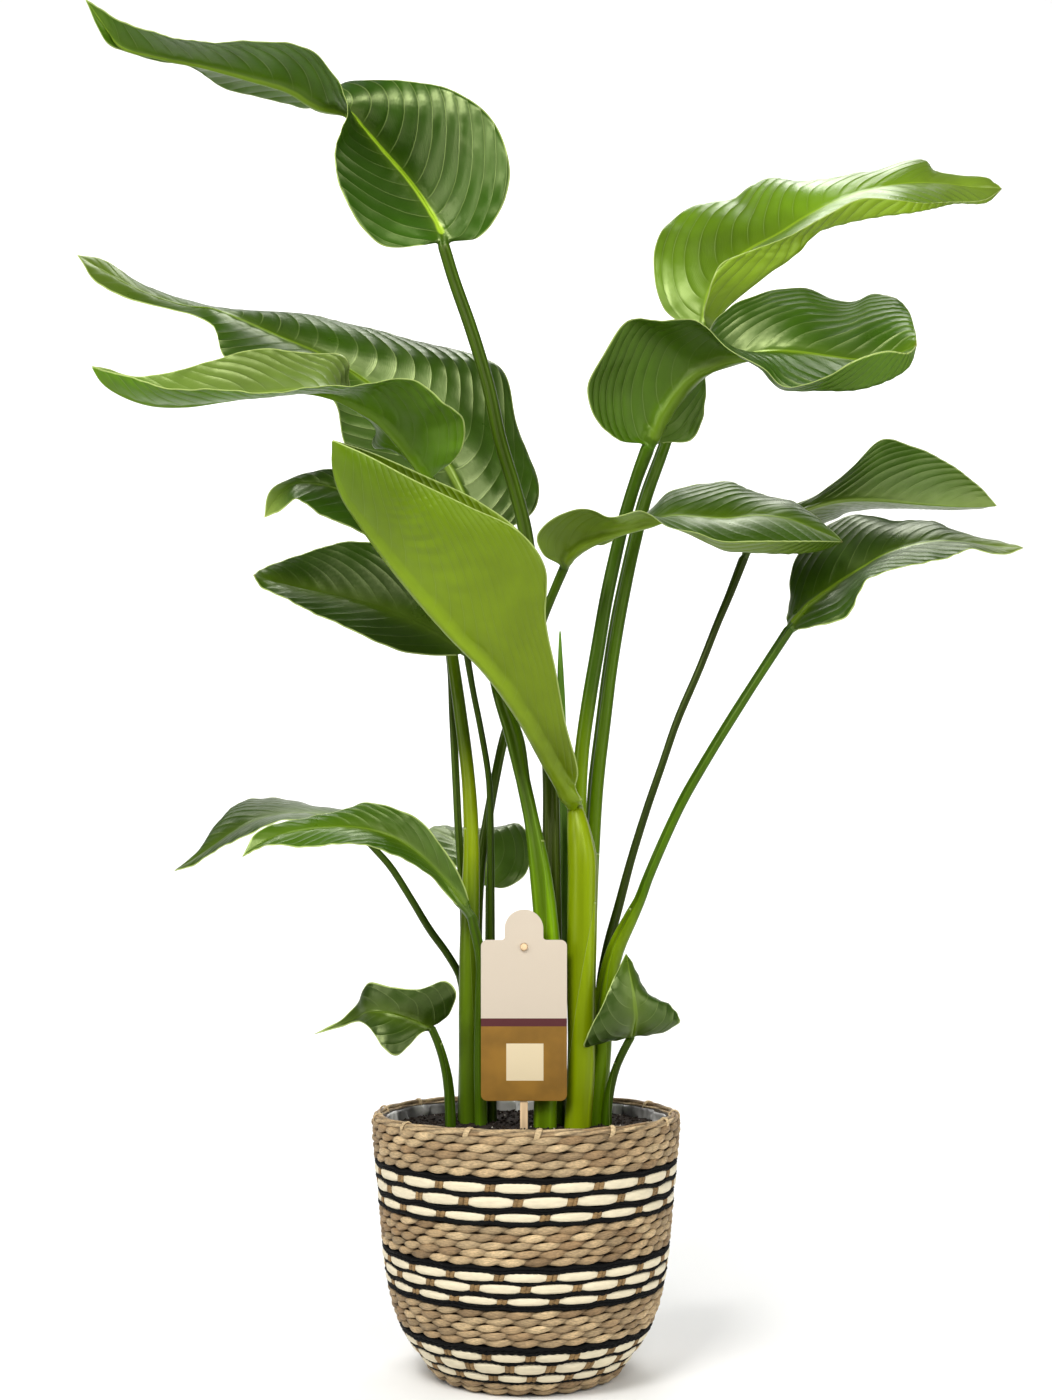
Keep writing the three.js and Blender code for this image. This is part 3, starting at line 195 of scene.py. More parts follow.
# Each leaf's upper and lower colour, the colour of its tip and how far it reaches, its stalk
# from the soil up as height and colour, how clearly veins and midrib show, and how far the
# veins sweep towards the tip
Paint = namedtuple("Paint", "upper lower tip tip_reach stalk veins midrib sweep")
PAINT = {
    "leaf_top": Paint((44, 84, 0), (70, 112, 8), (60, 104, 4), 0.3,
        ((250, (46, 76, 2)), (450, (52, 76, 2)), (560, (52, 76, 4)), (640, (52, 82, 4)),
        (1130, (50, 82, 6))), 1.0, 1.0, 1.0),
    "leaf_left_back": Paint((52, 86, 12), (88, 110, 42), (96, 122, 50), 0.3,
        ((250, (88, 130, 8)), (430, (98, 148, 6)), (560, (62, 100, 2)), (1000, (66, 104, 10))),
        0.9, 0.3, 1.1),
    "leaf_left_middle": Paint((108, 134, 66), (88, 134, 4), (84, 132, 8), 0.3,
        ((250, (74, 112, 20)), (470, (82, 116, 14)), (520, (116, 148, 2)), (580, (108, 138, 0)),
        (640, (64, 96, 0)), (850, (88, 128, 6))), 0.8, 0.2, 1.3),
    "leaf_left_drooping": Paint((50, 86, 8), (106, 128, 62), (132, 152, 92), 0.3,
        ((250, (60, 92, 12)), (850, (44, 72, 8))), 0.7, 0.2, 1.3),
    "leaf_left_dark": Paint((34, 62, 0), (76, 98, 30), (42, 74, 4), 0.3,
        ((250, (48, 78, 8)), (850, (44, 72, 8))), 0.35, 0.0, 1.4),
    "leaf_front": Paint((127, 155, 0), (118, 145, 0), (86, 120, 4), 0.62,
        ((250, (112, 144, 4)), (480, (112, 146, 0)), (700, (124, 156, 2))), 0.4, 0.15, 2.3),
    "leaf_right_front": Paint((52, 90, 0), (72, 112, 2), (84, 122, 14), 0.16,
        ((250, (78, 122, 0)), (430, (108, 148, 4)), (590, (104, 146, 4)), (690, (50, 88, 2)),
        (900, (42, 76, 0)), (960, (68, 112, 4))), 0.8, 0.35, 1.7),
    "leaf_right_top": Paint((100, 138, 20), (136, 172, 30), (126, 156, 60), 0.4,
        ((250, (78, 122, 0)), (540, (88, 132, 4)), (680, (64, 104, 8)), (1000, (60, 100, 10))),
        0.9, 0.5, 1.1),
    "leaf_centre_right": Paint((46, 76, 0), (106, 136, 24), (52, 84, 4), 0.3,
        ((250, (48, 76, 4)), (860, (52, 86, 4))), 0.6, 0.25, 1.6),
    "leaf_right_low": Paint((42, 74, 0), (100, 130, 42), (124, 148, 70), 0.25,
        ((250, (76, 120, 2)), (430, (108, 148, 10)), (480, (64, 106, 6)), (760, (50, 88, 6))),
        0.55, 0.45, 1.5),
    "leaf_right_upper": Paint((50, 82, 12), (88, 114, 44), (80, 108, 34), 0.3,
        ((250, (34, 56, 2)), (860, (38, 60, 6))), 0.6, 0.15, 1.9),
    "leaf_low_left_front": Paint((58, 96, 4), (84, 118, 16), (66, 102, 20), 0.4,
        ((250, (62, 100, 8)), (560, (54, 90, 4))), 0.8, 0.2, 1.9),
    "leaf_low_left_back": Paint((42, 72, 4), (84, 112, 28), (50, 78, 20), 0.4,
        ((250, (48, 78, 6)), (560, (44, 72, 6))), 0.6, 0.15, 1.9),
    "leaf_small_left": Paint((38, 66, 0), (64, 94, 16), (52, 84, 20), 0.3,
        ((250, (56, 94, 4)), (400, (50, 82, 4))), 0.4, 0.1, 1.3),
    "leaf_small_right": Paint((38, 66, 4), (68, 98, 20), (44, 76, 10), 0.3,
        ((250, (50, 84, 4)), (400, (56, 90, 6))), 0.6, 0.2, 1.3),
    "leaf_back_small": Paint((62, 94, 22), (86, 112, 40), (62, 94, 22), 0.3,
        ((250, (54, 86, 6)), (600, (50, 80, 6))), 0.6, 0.2, 1.2),
}
# Leaves whose tip has dried, and the share of the blade that has
DRY_TIPS = {"leaf_left_dark": 0.05, "leaf_left_drooping": 0.035, "leaf_right_front": 0.02}

# Sheath edges that slant round a stalk: peak height, drop to the other side, and the side of
# the peak, 1 to the right and -1 to the left
SHEATHS = {
    "leaf_left_back": ((530, 260, 1),),
    "leaf_left_middle": ((545, 330, -1),),
    "leaf_front": ((470, 180, 1),),
    "leaf_right_front": ((612, 300, -1), (390, 160, -1)),
    "leaf_right_top": ((520, 300, 1),),
    "leaf_right_low": ((462, 230, -1),),
    "leaf_left_dark": ((420, 200, 1),),
    "leaf_small_left": ((330, 120, 1),),
    "leaf_small_right": ((310, 90, -1),),
}

# What a surface without sheaths gives as its height above them
NO_SHEATH = 100.0

# Each leaf: its stalk as (x, z, depth, width) from the soil up, then three curves as
# (x, z, depth): left margin, midrib and right margin, seen from above the leaf. They start at
# the top of the stalk and end at the tip. A lip is the right margin turned over, from the
# given control point on. The bulge is how high each half arches, as a share of its width, and
# the wave is the margins' height of wave, its count along the blade and its phase.
LEAVES = (
    {"name": "leaf_top", "bulge": 0.07, "wave": (1.5, 5, 0.4), "tip": (-441, 1373, -90),
     "stalk": ((30, 252, 14, 19), (28, 372, 16, 19), (25.5, 522, 24, 18), (24, 612, 34, 17),
        (17, 692, 40, 16), (8, 772, 42, 15), (-1, 842, 42, 15), (-11, 882, 40, 14),
        (-26, 932, 36, 14), (-38, 987, 32, 13.5), (-54.5, 1042, 28, 13.5), (-72, 1092, 24, 13),
        (-82, 1125, 20, 12.5)),
     "left": ((-106, 1126, 12), (-141, 1126, 5), (-166, 1146, 0), (-188, 1191, -5),
        (-189, 1227, -10), (-180, 1260, -15), (-188, 1292, -25), (-214, 1322, -40),
        (-264, 1329, -55), (-316, 1331, -65), (-366, 1338, -75), (-401, 1348, -80),
        (-425, 1364, -85)),
     "rib": ((-85, 1140, 24), (-98, 1164, 30), (-118, 1192, 34), (-143, 1220, 34),
        (-164, 1244, 28), (-178, 1259, 20), (-208, 1266, 10), (-236, 1282, 0), (-276, 1294, -15),
        (-321, 1306, -30), (-371, 1316, -50), (-406, 1326, -65), (-425, 1350, -80)),
     "right": ((-48, 1134, 12), (-26, 1160, 6), (-16, 1199, 0), (-32, 1250, 0), (-71, 1280, 5),
        (-126, 1292, 15), (-182, 1288, 35), (-212, 1264, 45), (-251, 1272, 30), (-304, 1284, 5),
        (-334, 1304, -20), (-386, 1316, -45), (-419, 1331, -75))},
    {"name": "leaf_left_back", "bulge": 0.06, "wave": (2, 4, 1.1), "tip": (-449, 1117, 10),
     "stalk": ((19, 252, -12, 23), (21, 332, -11, 24), (21, 432, -8, 26), (14, 502, -4, 21.5),
        (5.5, 552, 2, 15), (-3, 592, 8, 14.5), (-11, 632, 14, 19), (-27, 682, 24, 15),
        (-36, 732, 36, 13), (-42, 782, 48, 12.5), (-47, 822, 56, 12), (-51, 852, 62, 11)),
     "left": ((-76, 848, 80), (-111, 860, 92), (-151, 892, 92), (-181, 927, 80), (-191, 970, 60),
        (-221, 994, 44), (-264, 1004, 34), (-300, 1015, 26), (-314, 1047, 36), (-344, 1058, 34),
        (-386, 1070, 24), (-430, 1091, 14)),
     "rib": ((-64, 880, 66), (-78, 907, 70), (-101, 937, 74), (-131, 967, 76), (-166, 994, 76),
        (-206, 1017, 72), (-246, 1034, 66), (-286, 1052, 58), (-314, 1063, 50), (-341, 1066, 44),
        (-381, 1079, 34), (-430, 1105, 22)),
     "right": ((-21, 844, 68), (7, 860, 74), (13, 889, 80), (-8, 945, 92), (-26, 1003, 100),
        (-96, 1028, 104), (-161, 1046, 104), (-226, 1057, 98), (-291, 1058, 86), (-336, 1072, 70),
        (-381, 1086, 50), (-428, 1113, 28))},
    {"name": "leaf_left_middle", "bulge": -0.06, "wave": (2.2, 6, 0), "tip": (-434, 1006, -50),
     "stalk": ((-57, 252, 20, 20), (-57, 312, 20, 21), (-56.5, 412, 20, 21), (-55.5, 472, 21, 19),
        (-54.5, 532, 24, 16), (-57.5, 592, 30, 14), (-66, 662, 38, 13.5), (-73, 712, 44, 12.5),
        (-82, 772, 48, 11), (-89, 822, 44, 10.5), (-93, 862, 34, 10.5), (-94, 891, 20, 10)),
     "left": ((-78, 906, 2), (-63, 926, -12), (-63, 952, -24), (-81, 970, -34), (-106, 988, -44),
        (-138, 993, -52), (-181, 986, -58), (-226, 982, -62), (-271, 981, -64), (-316, 981, -66),
        (-356, 985, -66), (-391, 993, -62), (-418, 1001, -56)),
     "rib": ((-102, 900, 16), (-114, 916, 12), (-129, 934, 6), (-146, 952, 0), (-166, 964, -6),
        (-191, 976, -12), (-221, 982, -18), (-261, 979, -24), (-301, 973, -30), (-341, 967, -36),
        (-376, 968, -40), (-404, 977, -44), (-423, 989, -48)),
     "right": ((-118, 914, 28), (-141, 926, 34), (-152, 926, 36), (-152, 944, 34),
        (-168, 964, 30), (-178, 992, 26), (-181, 1015, 18), (-226, 1020, 8), (-271, 1022, -2),
        (-318, 1011, -12), (-356, 999, -24), (-391, 996, -34), (-418, 1003, -44))},
    {"name": "leaf_left_drooping", "bulge": 0.06, "wave": (1, 3, 0), "tip": (-262, 854, -14),
     "stalk": ((-63, 252, 38, 9), (-62, 372, 38, 9), (-62, 462, 39, 9), (-67, 532, 41, 8),
        (-70, 592, 46, 8), (-73, 652, 54, 8), (-76, 712, 62, 8), (-85, 762, 66, 8),
        (-101, 810, 62, 7.5)),
     "left": ((-124, 810, 56), (-151, 831, 44), (-176, 844, 30), (-204, 857, 16), (-229, 872, 4),
        (-243, 863, -6)),
     "rib": ((-118, 834, 62), (-146, 860, 56), (-178, 878, 46), (-208, 887, 32), (-234, 886, 16),
        (-251, 871, 0)),
     "right": ((-94, 842, 66), (-114, 875, 66), (-148, 896, 60), (-186, 902, 48), (-221, 899, 28),
        (-256, 881, 2))},
    {"name": "leaf_left_dark", "bulge": 0.05, "wave": (1.2, 3, 0.6), "tip": (-273, 797, -42),
     "stalk": ((-34, 252, 26, 10), (-35, 372, 26, 9), (-35, 472, 25, 8), (-35.5, 542, 23, 7.5),
        (-37, 592, 21, 6.5), (-45, 642, 18, 6.5), (-53, 682, 13, 6.5), (-59, 717, 8, 7)),
     "left": ((-81, 716, 2), (-121, 720, -8), (-156, 732, -18), (-191, 750, -26),
        (-223, 764, -32), (-246, 775, -36), (-265, 786, -40)),
     "rib": ((-76, 732, 8), (-114, 752, 6), (-151, 766, 2), (-188, 775, -4), (-221, 782, -12),
        (-246, 788, -22), (-263, 793, -32)),
     "right": ((-60, 762, 20), (-90, 804, 24), (-131, 826, 22), (-176, 830, 16), (-214, 821, 6),
        (-243, 812, -10), (-265, 802, -26))},
    {"name": "leaf_front", "bulge": -0.12, "wave": (0, 1, 0), "tip": (-193, 932, -128),
     "stalk": ((52, 252, -12, 27), (56, 312, -12, 29), (57, 412, -11, 32), (58, 472, -9, 33),
        (58, 512, -7, 33), (54, 542, -4, 26), (50, 564, 0, 18)),
     "left": ((49, 582, -12), (52, 601, -28), (40, 648, -52), (30, 702, -72), (20, 752, -90),
        (19, 805, -104), (-6, 840, -116), (-58, 866, -122), (-114, 893, -126), (-161, 918, -128)),
     "rib": ((42, 586, -14), (27, 611, -30), (0, 657, -50), (-34, 703, -66), (-74, 743, -78),
        (-108, 780, -88), (-138, 816, -96), (-164, 850, -104), (-183, 878, -112),
        (-192, 906, -120)),
     "right": ((49, 584, -4), (46, 605, -8), (37, 648, -16), (28, 698, -26), (15, 746, -36),
        (14, 792, -44), (-1, 834, -54), (-46, 870, -66), (-101, 896, -82), (-156, 920, -104))},
    {"name": "leaf_right_front", "bulge": 0.07, "wave": (1.5, 5, 0.8), "tip": (391, 1027, -84),
     "stalk": ((52, 252, 36, 16), (54, 372, 34, 16), (54, 472, 32, 16), (53, 572, 30, 15.5),
        (56, 622, 28, 15), (63, 672, 27, 15), (71.5, 722, 26, 14.5), (80, 772, 25, 14),
        (88.5, 812, 24, 14), (98, 852, 20, 13.5), (110, 892, 16, 13), (121, 922, 10, 14.5)),
     "left": ((138, 929, 14), (164, 931, 18), (177, 952, 20), (180, 976, 16), (178, 1000, 8),
        (182, 1021, -4), (187, 1048, -14), (205, 1067, -18), (240, 1079, -18), (280, 1083, -16),
        (321, 1071, -20), (349, 1077, -28), (377, 1068, -44), (388, 1048, -66)),
     "rib": ((126, 936, 8), (134, 952, 4), (144, 968, -2), (157, 985, -8), (172, 998, -16),
        (186, 1005, -22), (201, 1011, -28), (219, 1015, -34), (244, 1019, -40), (274, 1018, -48),
        (304, 1014, -56), (336, 1011, -64), (364, 1015, -72), (382, 1022, -80)),
     "right": ((96, 931, -4), (72, 952, -14), (63, 984, -22), (77, 1013, -30), (103, 1050, -38),
        (136, 1050, -50), (171, 1050, -62), (204, 1022, -72), (236, 1001, -78), (254, 983, -84),
        (294, 981, -90), (332, 982, -94), (364, 992, -94), (383, 1005, -92)),
     "lip_from": 9,
     "lip": ((238, 1003, -84), (260, 985, -98), (298, 994, -106), (330, 1012, -110),
        (360, 1021, -108), (381, 1019, -100), (391, 1027, -86))},
    {"name": "leaf_right_top", "bulge": 0.06, "wave": (2, 5, 0.2), "tip": (476, 1183, 110),
     "stalk": ((60, 252, 54, 15), (61, 372, 52, 15), (64, 472, 50, 16), (66, 532, 48, 17),
        (70, 592, 46, 17), (76, 642, 45, 16.5), (83.5, 702, 44, 16), (91.5, 752, 43, 16),
        (99.5, 792, 43, 15.5), (108.5, 832, 42, 15), (118.5, 872, 42, 14.5),
        (136.5, 922, 42, 13.5), (156, 977, 40, 11), (170, 1014, 35, 11), (179, 1037, 30, 10)),
     "left": ((158, 1047, 36), (137, 1064, 44), (128, 1104, 54), (135, 1141, 66), (164, 1165, 78),
        (204, 1171, 88), (239, 1195, 96), (286, 1190, 102), (340, 1200, 106), (396, 1214, 108),
        (409, 1199, 108), (464, 1194, 108)),
     "rib": ((180, 1054, 32), (183, 1072, 36), (190, 1090, 42), (204, 1106, 48), (226, 1122, 54),
        (252, 1136, 60), (280, 1154, 66), (312, 1171, 72), (346, 1182, 80), (382, 1188, 88),
        (414, 1188, 96), (452, 1184, 104)),
     "right": ((192, 1053, 22), (204, 1066, 18), (221, 1081, 14), (246, 1100, 12),
        (270, 1117, 14), (292, 1139, 18), (319, 1148, 24), (354, 1155, 32), (386, 1159, 44),
        (407, 1163, 58), (429, 1168, 76), (460, 1169, 94)),
     "lip_from": 1,
     "lip": ((178, 1060, 12), (182, 1077, 4), (187, 1094, -2), (195, 1108, -4), (224, 1121, -2),
        (261, 1135, 4), (299, 1156, 10), (334, 1173, 18), (371, 1172, 32), (396, 1169, 48),
        (422, 1170, 68), (457, 1172, 90), (475, 1182, 108))},
    {"name": "leaf_centre_right", "bulge": 0.06, "wave": (1.2, 4, 0.5), "tip": (317, 830, -10),
     "stalk": ((-48, 252, 42, 12), (-49, 372, 42, 12), (-49, 452, 42, 11.5), (-45, 512, 43, 11),
        (-38.5, 552, 45, 10.5), (-31, 592, 47, 10), (-22.5, 632, 48, 10), (-13, 662, 44, 10),
        (-2, 697, 34, 10), (9, 729, 20, 9.5), (18.5, 757, 8, 9), (28.5, 782, 0, 9.5),
        (38, 804, -8, 10)),
     "left": ((54, 820, -8), (66, 828, -10), (81, 828, -10), (91, 834, -10), (105, 845, -10),
        (121, 859, -8), (143, 878, 0), (174, 888, 8), (204, 891, 12), (234, 877, 12),
        (269, 869, 8), (292, 855, 0)),
     "rib": ((41, 814, -14), (51, 823, -20), (65, 831, -24), (82, 837, -28), (101, 843, -30),
        (122, 848, -30), (146, 855, -28), (172, 854, -24), (201, 853, -20), (232, 856, -16),
        (264, 852, -14), (292, 841, -12)),
     "right": ((19, 817, -24), (13, 836, -36), (33, 855, -46), (61, 862, -52), (86, 854, -54),
        (116, 860, -52), (142, 846, -48), (169, 835, -50), (196, 822, -50), (229, 819, -48),
        (264, 818, -42), (294, 821, -30)),
     "lip_from": 8,
     "lip": ((171, 839, -58), (196, 831, -64), (231, 831, -64), (264, 831, -58), (294, 831, -44),
        (316, 830, -14))},
    {"name": "leaf_right_low", "bulge": 0.06, "wave": (1.6, 4, 0.9), "tip": (498, 824, -10),
     "stalk": ((68, 252, 9, 22), (74, 312, 11, 22), (78, 372, 12, 21), (88.5, 420, 11, 18),
        (104.5, 454, 9, 15), (113.5, 472, 8, 12), (121, 492, 7, 11), (138, 532, 5, 10.5),
        (157, 572, 4, 10.5), (180, 612, 4, 10.5), (204.5, 652, 5, 10.5), (230, 692, 6, 10),
        (262, 741, 6, 10.5)),
     "left": ((261, 757, 16), (263, 776, 26), (266, 800, 34), (277, 826, 42), (302, 847, 48),
        (332, 856, 50), (367, 853, 44), (401, 851, 34), (431, 840, 20), (474, 832, 4)),
     "rib": ((271, 752, 8), (284, 766, 10), (300, 778, 12), (317, 790, 12), (336, 802, 12),
        (359, 816, 10), (384, 825, 8), (412, 830, 6), (437, 829, 2), (472, 825, -4)),
     "right": ((277, 743, -4), (300, 747, -12), (320, 756, -20), (331, 772, -26), (342, 792, -28),
        (369, 804, -28), (394, 807, -28), (421, 814, -26), (442, 823, -24), (474, 816, -20))},
    {"name": "leaf_right_upper", "bulge": 0.05, "wave": (1.5, 3, 0.3), "tip": (471, 866, 110),
     "stalk": ((80, 252, 30, 12), (77, 332, 30, 12), (75, 382, 30, 11), (81, 422, 30, 10),
        (93, 467, 31, 9.5), (105, 512, 32, 8.5), (120.5, 562, 33, 8), (136, 607, 34, 8),
        (151.5, 652, 36, 8), (173, 702, 38, 8), (192, 750, 42, 8), (203, 776, 44, 8.5),
        (217, 812, 46, 10)),
     "left": ((217, 828, 52), (232, 846, 60), (262, 864, 68), (296, 879, 76), (326, 905, 84),
        (356, 933, 88), (389, 924, 92), (423, 908, 98), (453, 887, 104)),
     "rib": ((225, 826, 50), (240, 839, 56), (262, 853, 62), (289, 865, 68), (319, 871, 74),
        (354, 871, 80), (389, 868, 88), (419, 866, 96), (446, 865, 104)),
     "right": ((232, 823, 58), (254, 831, 72), (280, 840, 88), (307, 851, 104), (327, 861, 118),
        (358, 865, 128), (391, 864, 130), (422, 863, 126), (449, 864, 118))},
    {"name": "leaf_low_left_front", "bulge": 0.06, "wave": (1.2, 4, 0), "tip": (-284, 515, -90),
     "stalk": ((-45, 252, 3, 13), (-46, 312, 3, 13), (-45, 372, 2, 12.5), (-45, 412, 1, 11),
        (-54, 454, 0, 10)),
     "left": ((-76, 473, -16), (-96, 497, -34), (-118, 510, -50), (-136, 518, -62),
        (-154, 526, -72), (-174, 527, -80), (-198, 527, -86), (-226, 525, -90), (-254, 526, -92),
        (-270, 523, -92)),
     "rib": ((-68, 475, -8), (-86, 496, -18), (-104, 514, -28), (-124, 529, -38),
        (-146, 538, -46), (-171, 543, -54), (-198, 544, -62), (-226, 541, -70), (-251, 535, -78),
        (-270, 526, -84)),
     "right": ((-59, 479, -10), (-70, 504, -20), (-85, 527, -28), (-105, 551, -34),
        (-131, 563, -36), (-161, 570, -38), (-186, 561, -46), (-218, 554, -54), (-246, 550, -66),
        (-269, 539, -78))},
    {"name": "leaf_low_left_back", "bulge": 0.06, "wave": (1.2, 3, 0.5), "tip": (-352, 501, 14),
     "stalk": ((-64, 252, 52, 9), (-63, 342, 54, 8.5), (-65, 392, 56, 8), (-78, 417, 56, 8),
        (-96, 442, 54, 8), (-116, 475, 50, 7.5), (-136, 506, 46, 7.5), (-154, 526, 44, 7)),
     "left": ((-176, 533, 34), (-196, 544, 26), (-226, 551, 18), (-251, 549, 12), (-274, 540, 8),
        (-294, 529, 6), (-314, 518, 6), (-336, 506, 10)),
     "rib": ((-168, 540, 44), (-186, 551, 44), (-216, 558, 42), (-245, 557, 40), (-270, 551, 36),
        (-292, 540, 32), (-314, 525, 26), (-336, 510, 20)),
     "right": ((-152, 548, 56), (-174, 560, 66), (-204, 565, 74), (-234, 572, 78),
        (-262, 573, 76), (-286, 570, 68), (-307, 552, 52), (-326, 521, 32))},
    {"name": "leaf_small_left", "bulge": 0.05, "wave": (0.8, 3, 0), "tip": (-214, 337, 22),
     "stalk": ((-75.5, 252, 0, 11), (-77.5, 287, 0, 10.5), (-82.5, 312, -5, 9),
        (-88, 329, -10, 8.5), (-94, 343, -14, 8)),
     "left": ((-106, 338, -28), (-117, 326, -38), (-130, 316, -46), (-142, 323, -48),
        (-152, 338, -40), (-160, 347, -26), (-169, 350, -6), (-185, 345, 10)),
     "rib": ((-102, 347, -18), (-113, 352, -22), (-124, 356, -24), (-136, 359, -24),
        (-148, 360, -20), (-159, 359, -12), (-168, 354, 0), (-186, 348, 12)),
     "right": ((-78, 356, -22), (-70, 380, -32), (-80, 391, -36), (-106, 383, -34),
        (-134, 385, -26), (-158, 389, -12), (-169, 369, 2), (-186, 351, 14))},
    {"name": "leaf_small_right", "bulge": 0.08, "wave": (1, 3, 0), "tip": (100, 419, -20),
     "stalk": ((80.5, 252, -3, 10), (83, 277, -3, 9.5), (90, 304, -5, 8), (98, 322, -8, 8),
        (105, 335, -10, 8)),
     "left": ((84, 331, -22), (58, 325, -36), (64, 343, -44), (76, 366, -44), (87, 392, -36)),
     "rib": ((107, 344, -20), (109, 356, -28), (108, 370, -32), (106, 385, -32), (103, 401, -28)),
     "right": ((126, 337, -10), (154, 351, -8), (146, 365, -10), (125, 376, -14),
        (112, 397, -18))},
    {"name": "leaf_back_small", "bulge": 0.05, "wave": (1, 3, 0), "tip": (-99, 542, 114),
     "stalk": ((-34, 252, 48, 9), (-36, 332, 52, 8.5), (-37, 412, 64, 8), (-37, 452, 76, 8),
        (-37, 484, 84, 7.5)),
     "left": ((-48, 488, 82), (-60, 496, 82), (-71, 506, 84), (-80, 516, 88), (-88, 526, 94),
        (-94, 534, 100), (-97, 539, 108)),
     "rib": ((-37, 494, 90), (-40, 504, 96), (-46, 514, 102), (-56, 522, 106), (-68, 529, 108),
        (-81, 536, 110), (-92, 541, 112)),
     "right": ((-18, 485, 98), (0, 499, 112), (5, 524, 122), (-5, 547, 128), (-34, 544, 130),
        (-64, 545, 128), (-86, 546, 122))},
)

# The rolled leaf, drawn like a stalk, and its colours below one height and above another
SPEAR = (
    (34, 252, 40, 11), (36, 372, 38, 11), (39, 512, 42, 10), (37, 592, 48, 9), (35.5, 672, 46, 8),
    (34.5, 702, 44, 6.5), (34, 741, 42, 2),
)
SPEAR_PAINT = ((300, (60, 88, 26)), (750, (96, 138, 44)))


def ease(x):
    """A smooth step from 0 to 1."""
    x = np.clip(x, 0, 1)
    return x * x * (3 - 2 * x)


def unit(vectors):
    """Vectors of length 1 along the last axis; a zero vector stays zero."""
    length = np.linalg.norm(vectors, axis=-1, keepdims=True)
    return vectors / np.maximum(length, 1e-9)


def circle(steps):
    """Angles at even steps round a circle."""
    return np.linspace(0, 2 * np.pi, steps, endpoint=False)


def distances(points):
    """How far along their line each point is from the first."""
    return np.concatenate([[0], np.cumsum(np.linalg.norm(np.diff(points, axis=0), axis=1))])


def mixed(a, b, share):
    """Values a and b mixed by a share for each point."""
    share = np.asarray(share)[..., None]
    return a * (1 - share) + b * share


def cubic(points, before, after, position, slopes):
    """A curve through the points, at positions counted in points.

    before and after stand next to its ends. slopes gives the curve's directions at the
    second and third of four points.
    """
    padded = np.vstack([before, points, after])
    cell = np.minimum(position.astype(int), len(points) - 2)
    w = (position - cell)[:, None]
    p0, p1, p2, p3 = (padded[cell + k] for k in range(4))
    start, end = slopes(p0, p1, p2, p3)
    bend = -3 * p1 + 3 * p2 - 2 * start - end
    twist = 2 * p1 - 2 * p2 + start + end
    return p1 + start * w + bend * w**2 + twist * w**3


def spline(points, shares):
    """The centripetal Catmull-Rom curve through the points, at shares of its control points."""
    points = np.asarray(points, float)
    last = len(points) - 1
    position = np.clip(np.asarray(shares, float) * last, 0, last)

    def step(a, b):
        return np.maximum(np.sum((b - a) ** 2, axis=1), 1e-8)[:, None] ** 0.25

    def slopes(p0, p1, p2, p3):
        d0, d1, d2 = step(p0, p1), step(p1, p2), step(p2, p3)
        return (
            ((p1 - p0) / d0 - (p2 - p0) / (d0 + d1) + (p2 - p1) / d1) * d1,
            ((p2 - p1) / d1 - (p3 - p1) / (d1 + d2) + (p3 - p2) / d2) * d1,
        )

    before, after = 2 * points[0] - points[1], 2 * points[-1] - points[-2]
    return cubic(points, before, after, position, slopes)


def place(points):
    """Drawn points [x, z, depth] as they stand in space, in millimetres."""
    x, z, depth = np.asarray(points, float).T
    rise = ease((z - SPREAD_FROM) / (SPREAD_TO - SPREAD_FROM))
    y = depth * (1 + (SPREAD - 1) * rise)
    scale = 1 + y / VIEW_DISTANCE
    return np.stack([x * scale, y, VIEW_HEIGHT + (z - VIEW_HEIGHT) * scale], axis=1)


def linear(colour):
    """A colour given as 0 to 255 display values, as linear light."""
    value = np.asarray(colour, float) / 255
    return np.where(value <= 0.04045, value / 12.92, ((value + 0.055) / 1.055) ** 2.4)


def quads(first, second, around):
    """Faces between two rings, each given by the index of its first point."""
    pairs = [(k, (k + 1) % around) for k in range(around)]
    return [[first + k, first + n, second + n, second + k] for k, n in pairs]


def stand(mesh, name, nodes):
    """The mesh as an object that stands for CAD nodes."""
    thing = bpy.data.objects.new(name, mesh)
    bpy.context.scene.collection.objects.link(thing)
    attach(thing, "root")
    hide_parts(*nodes)


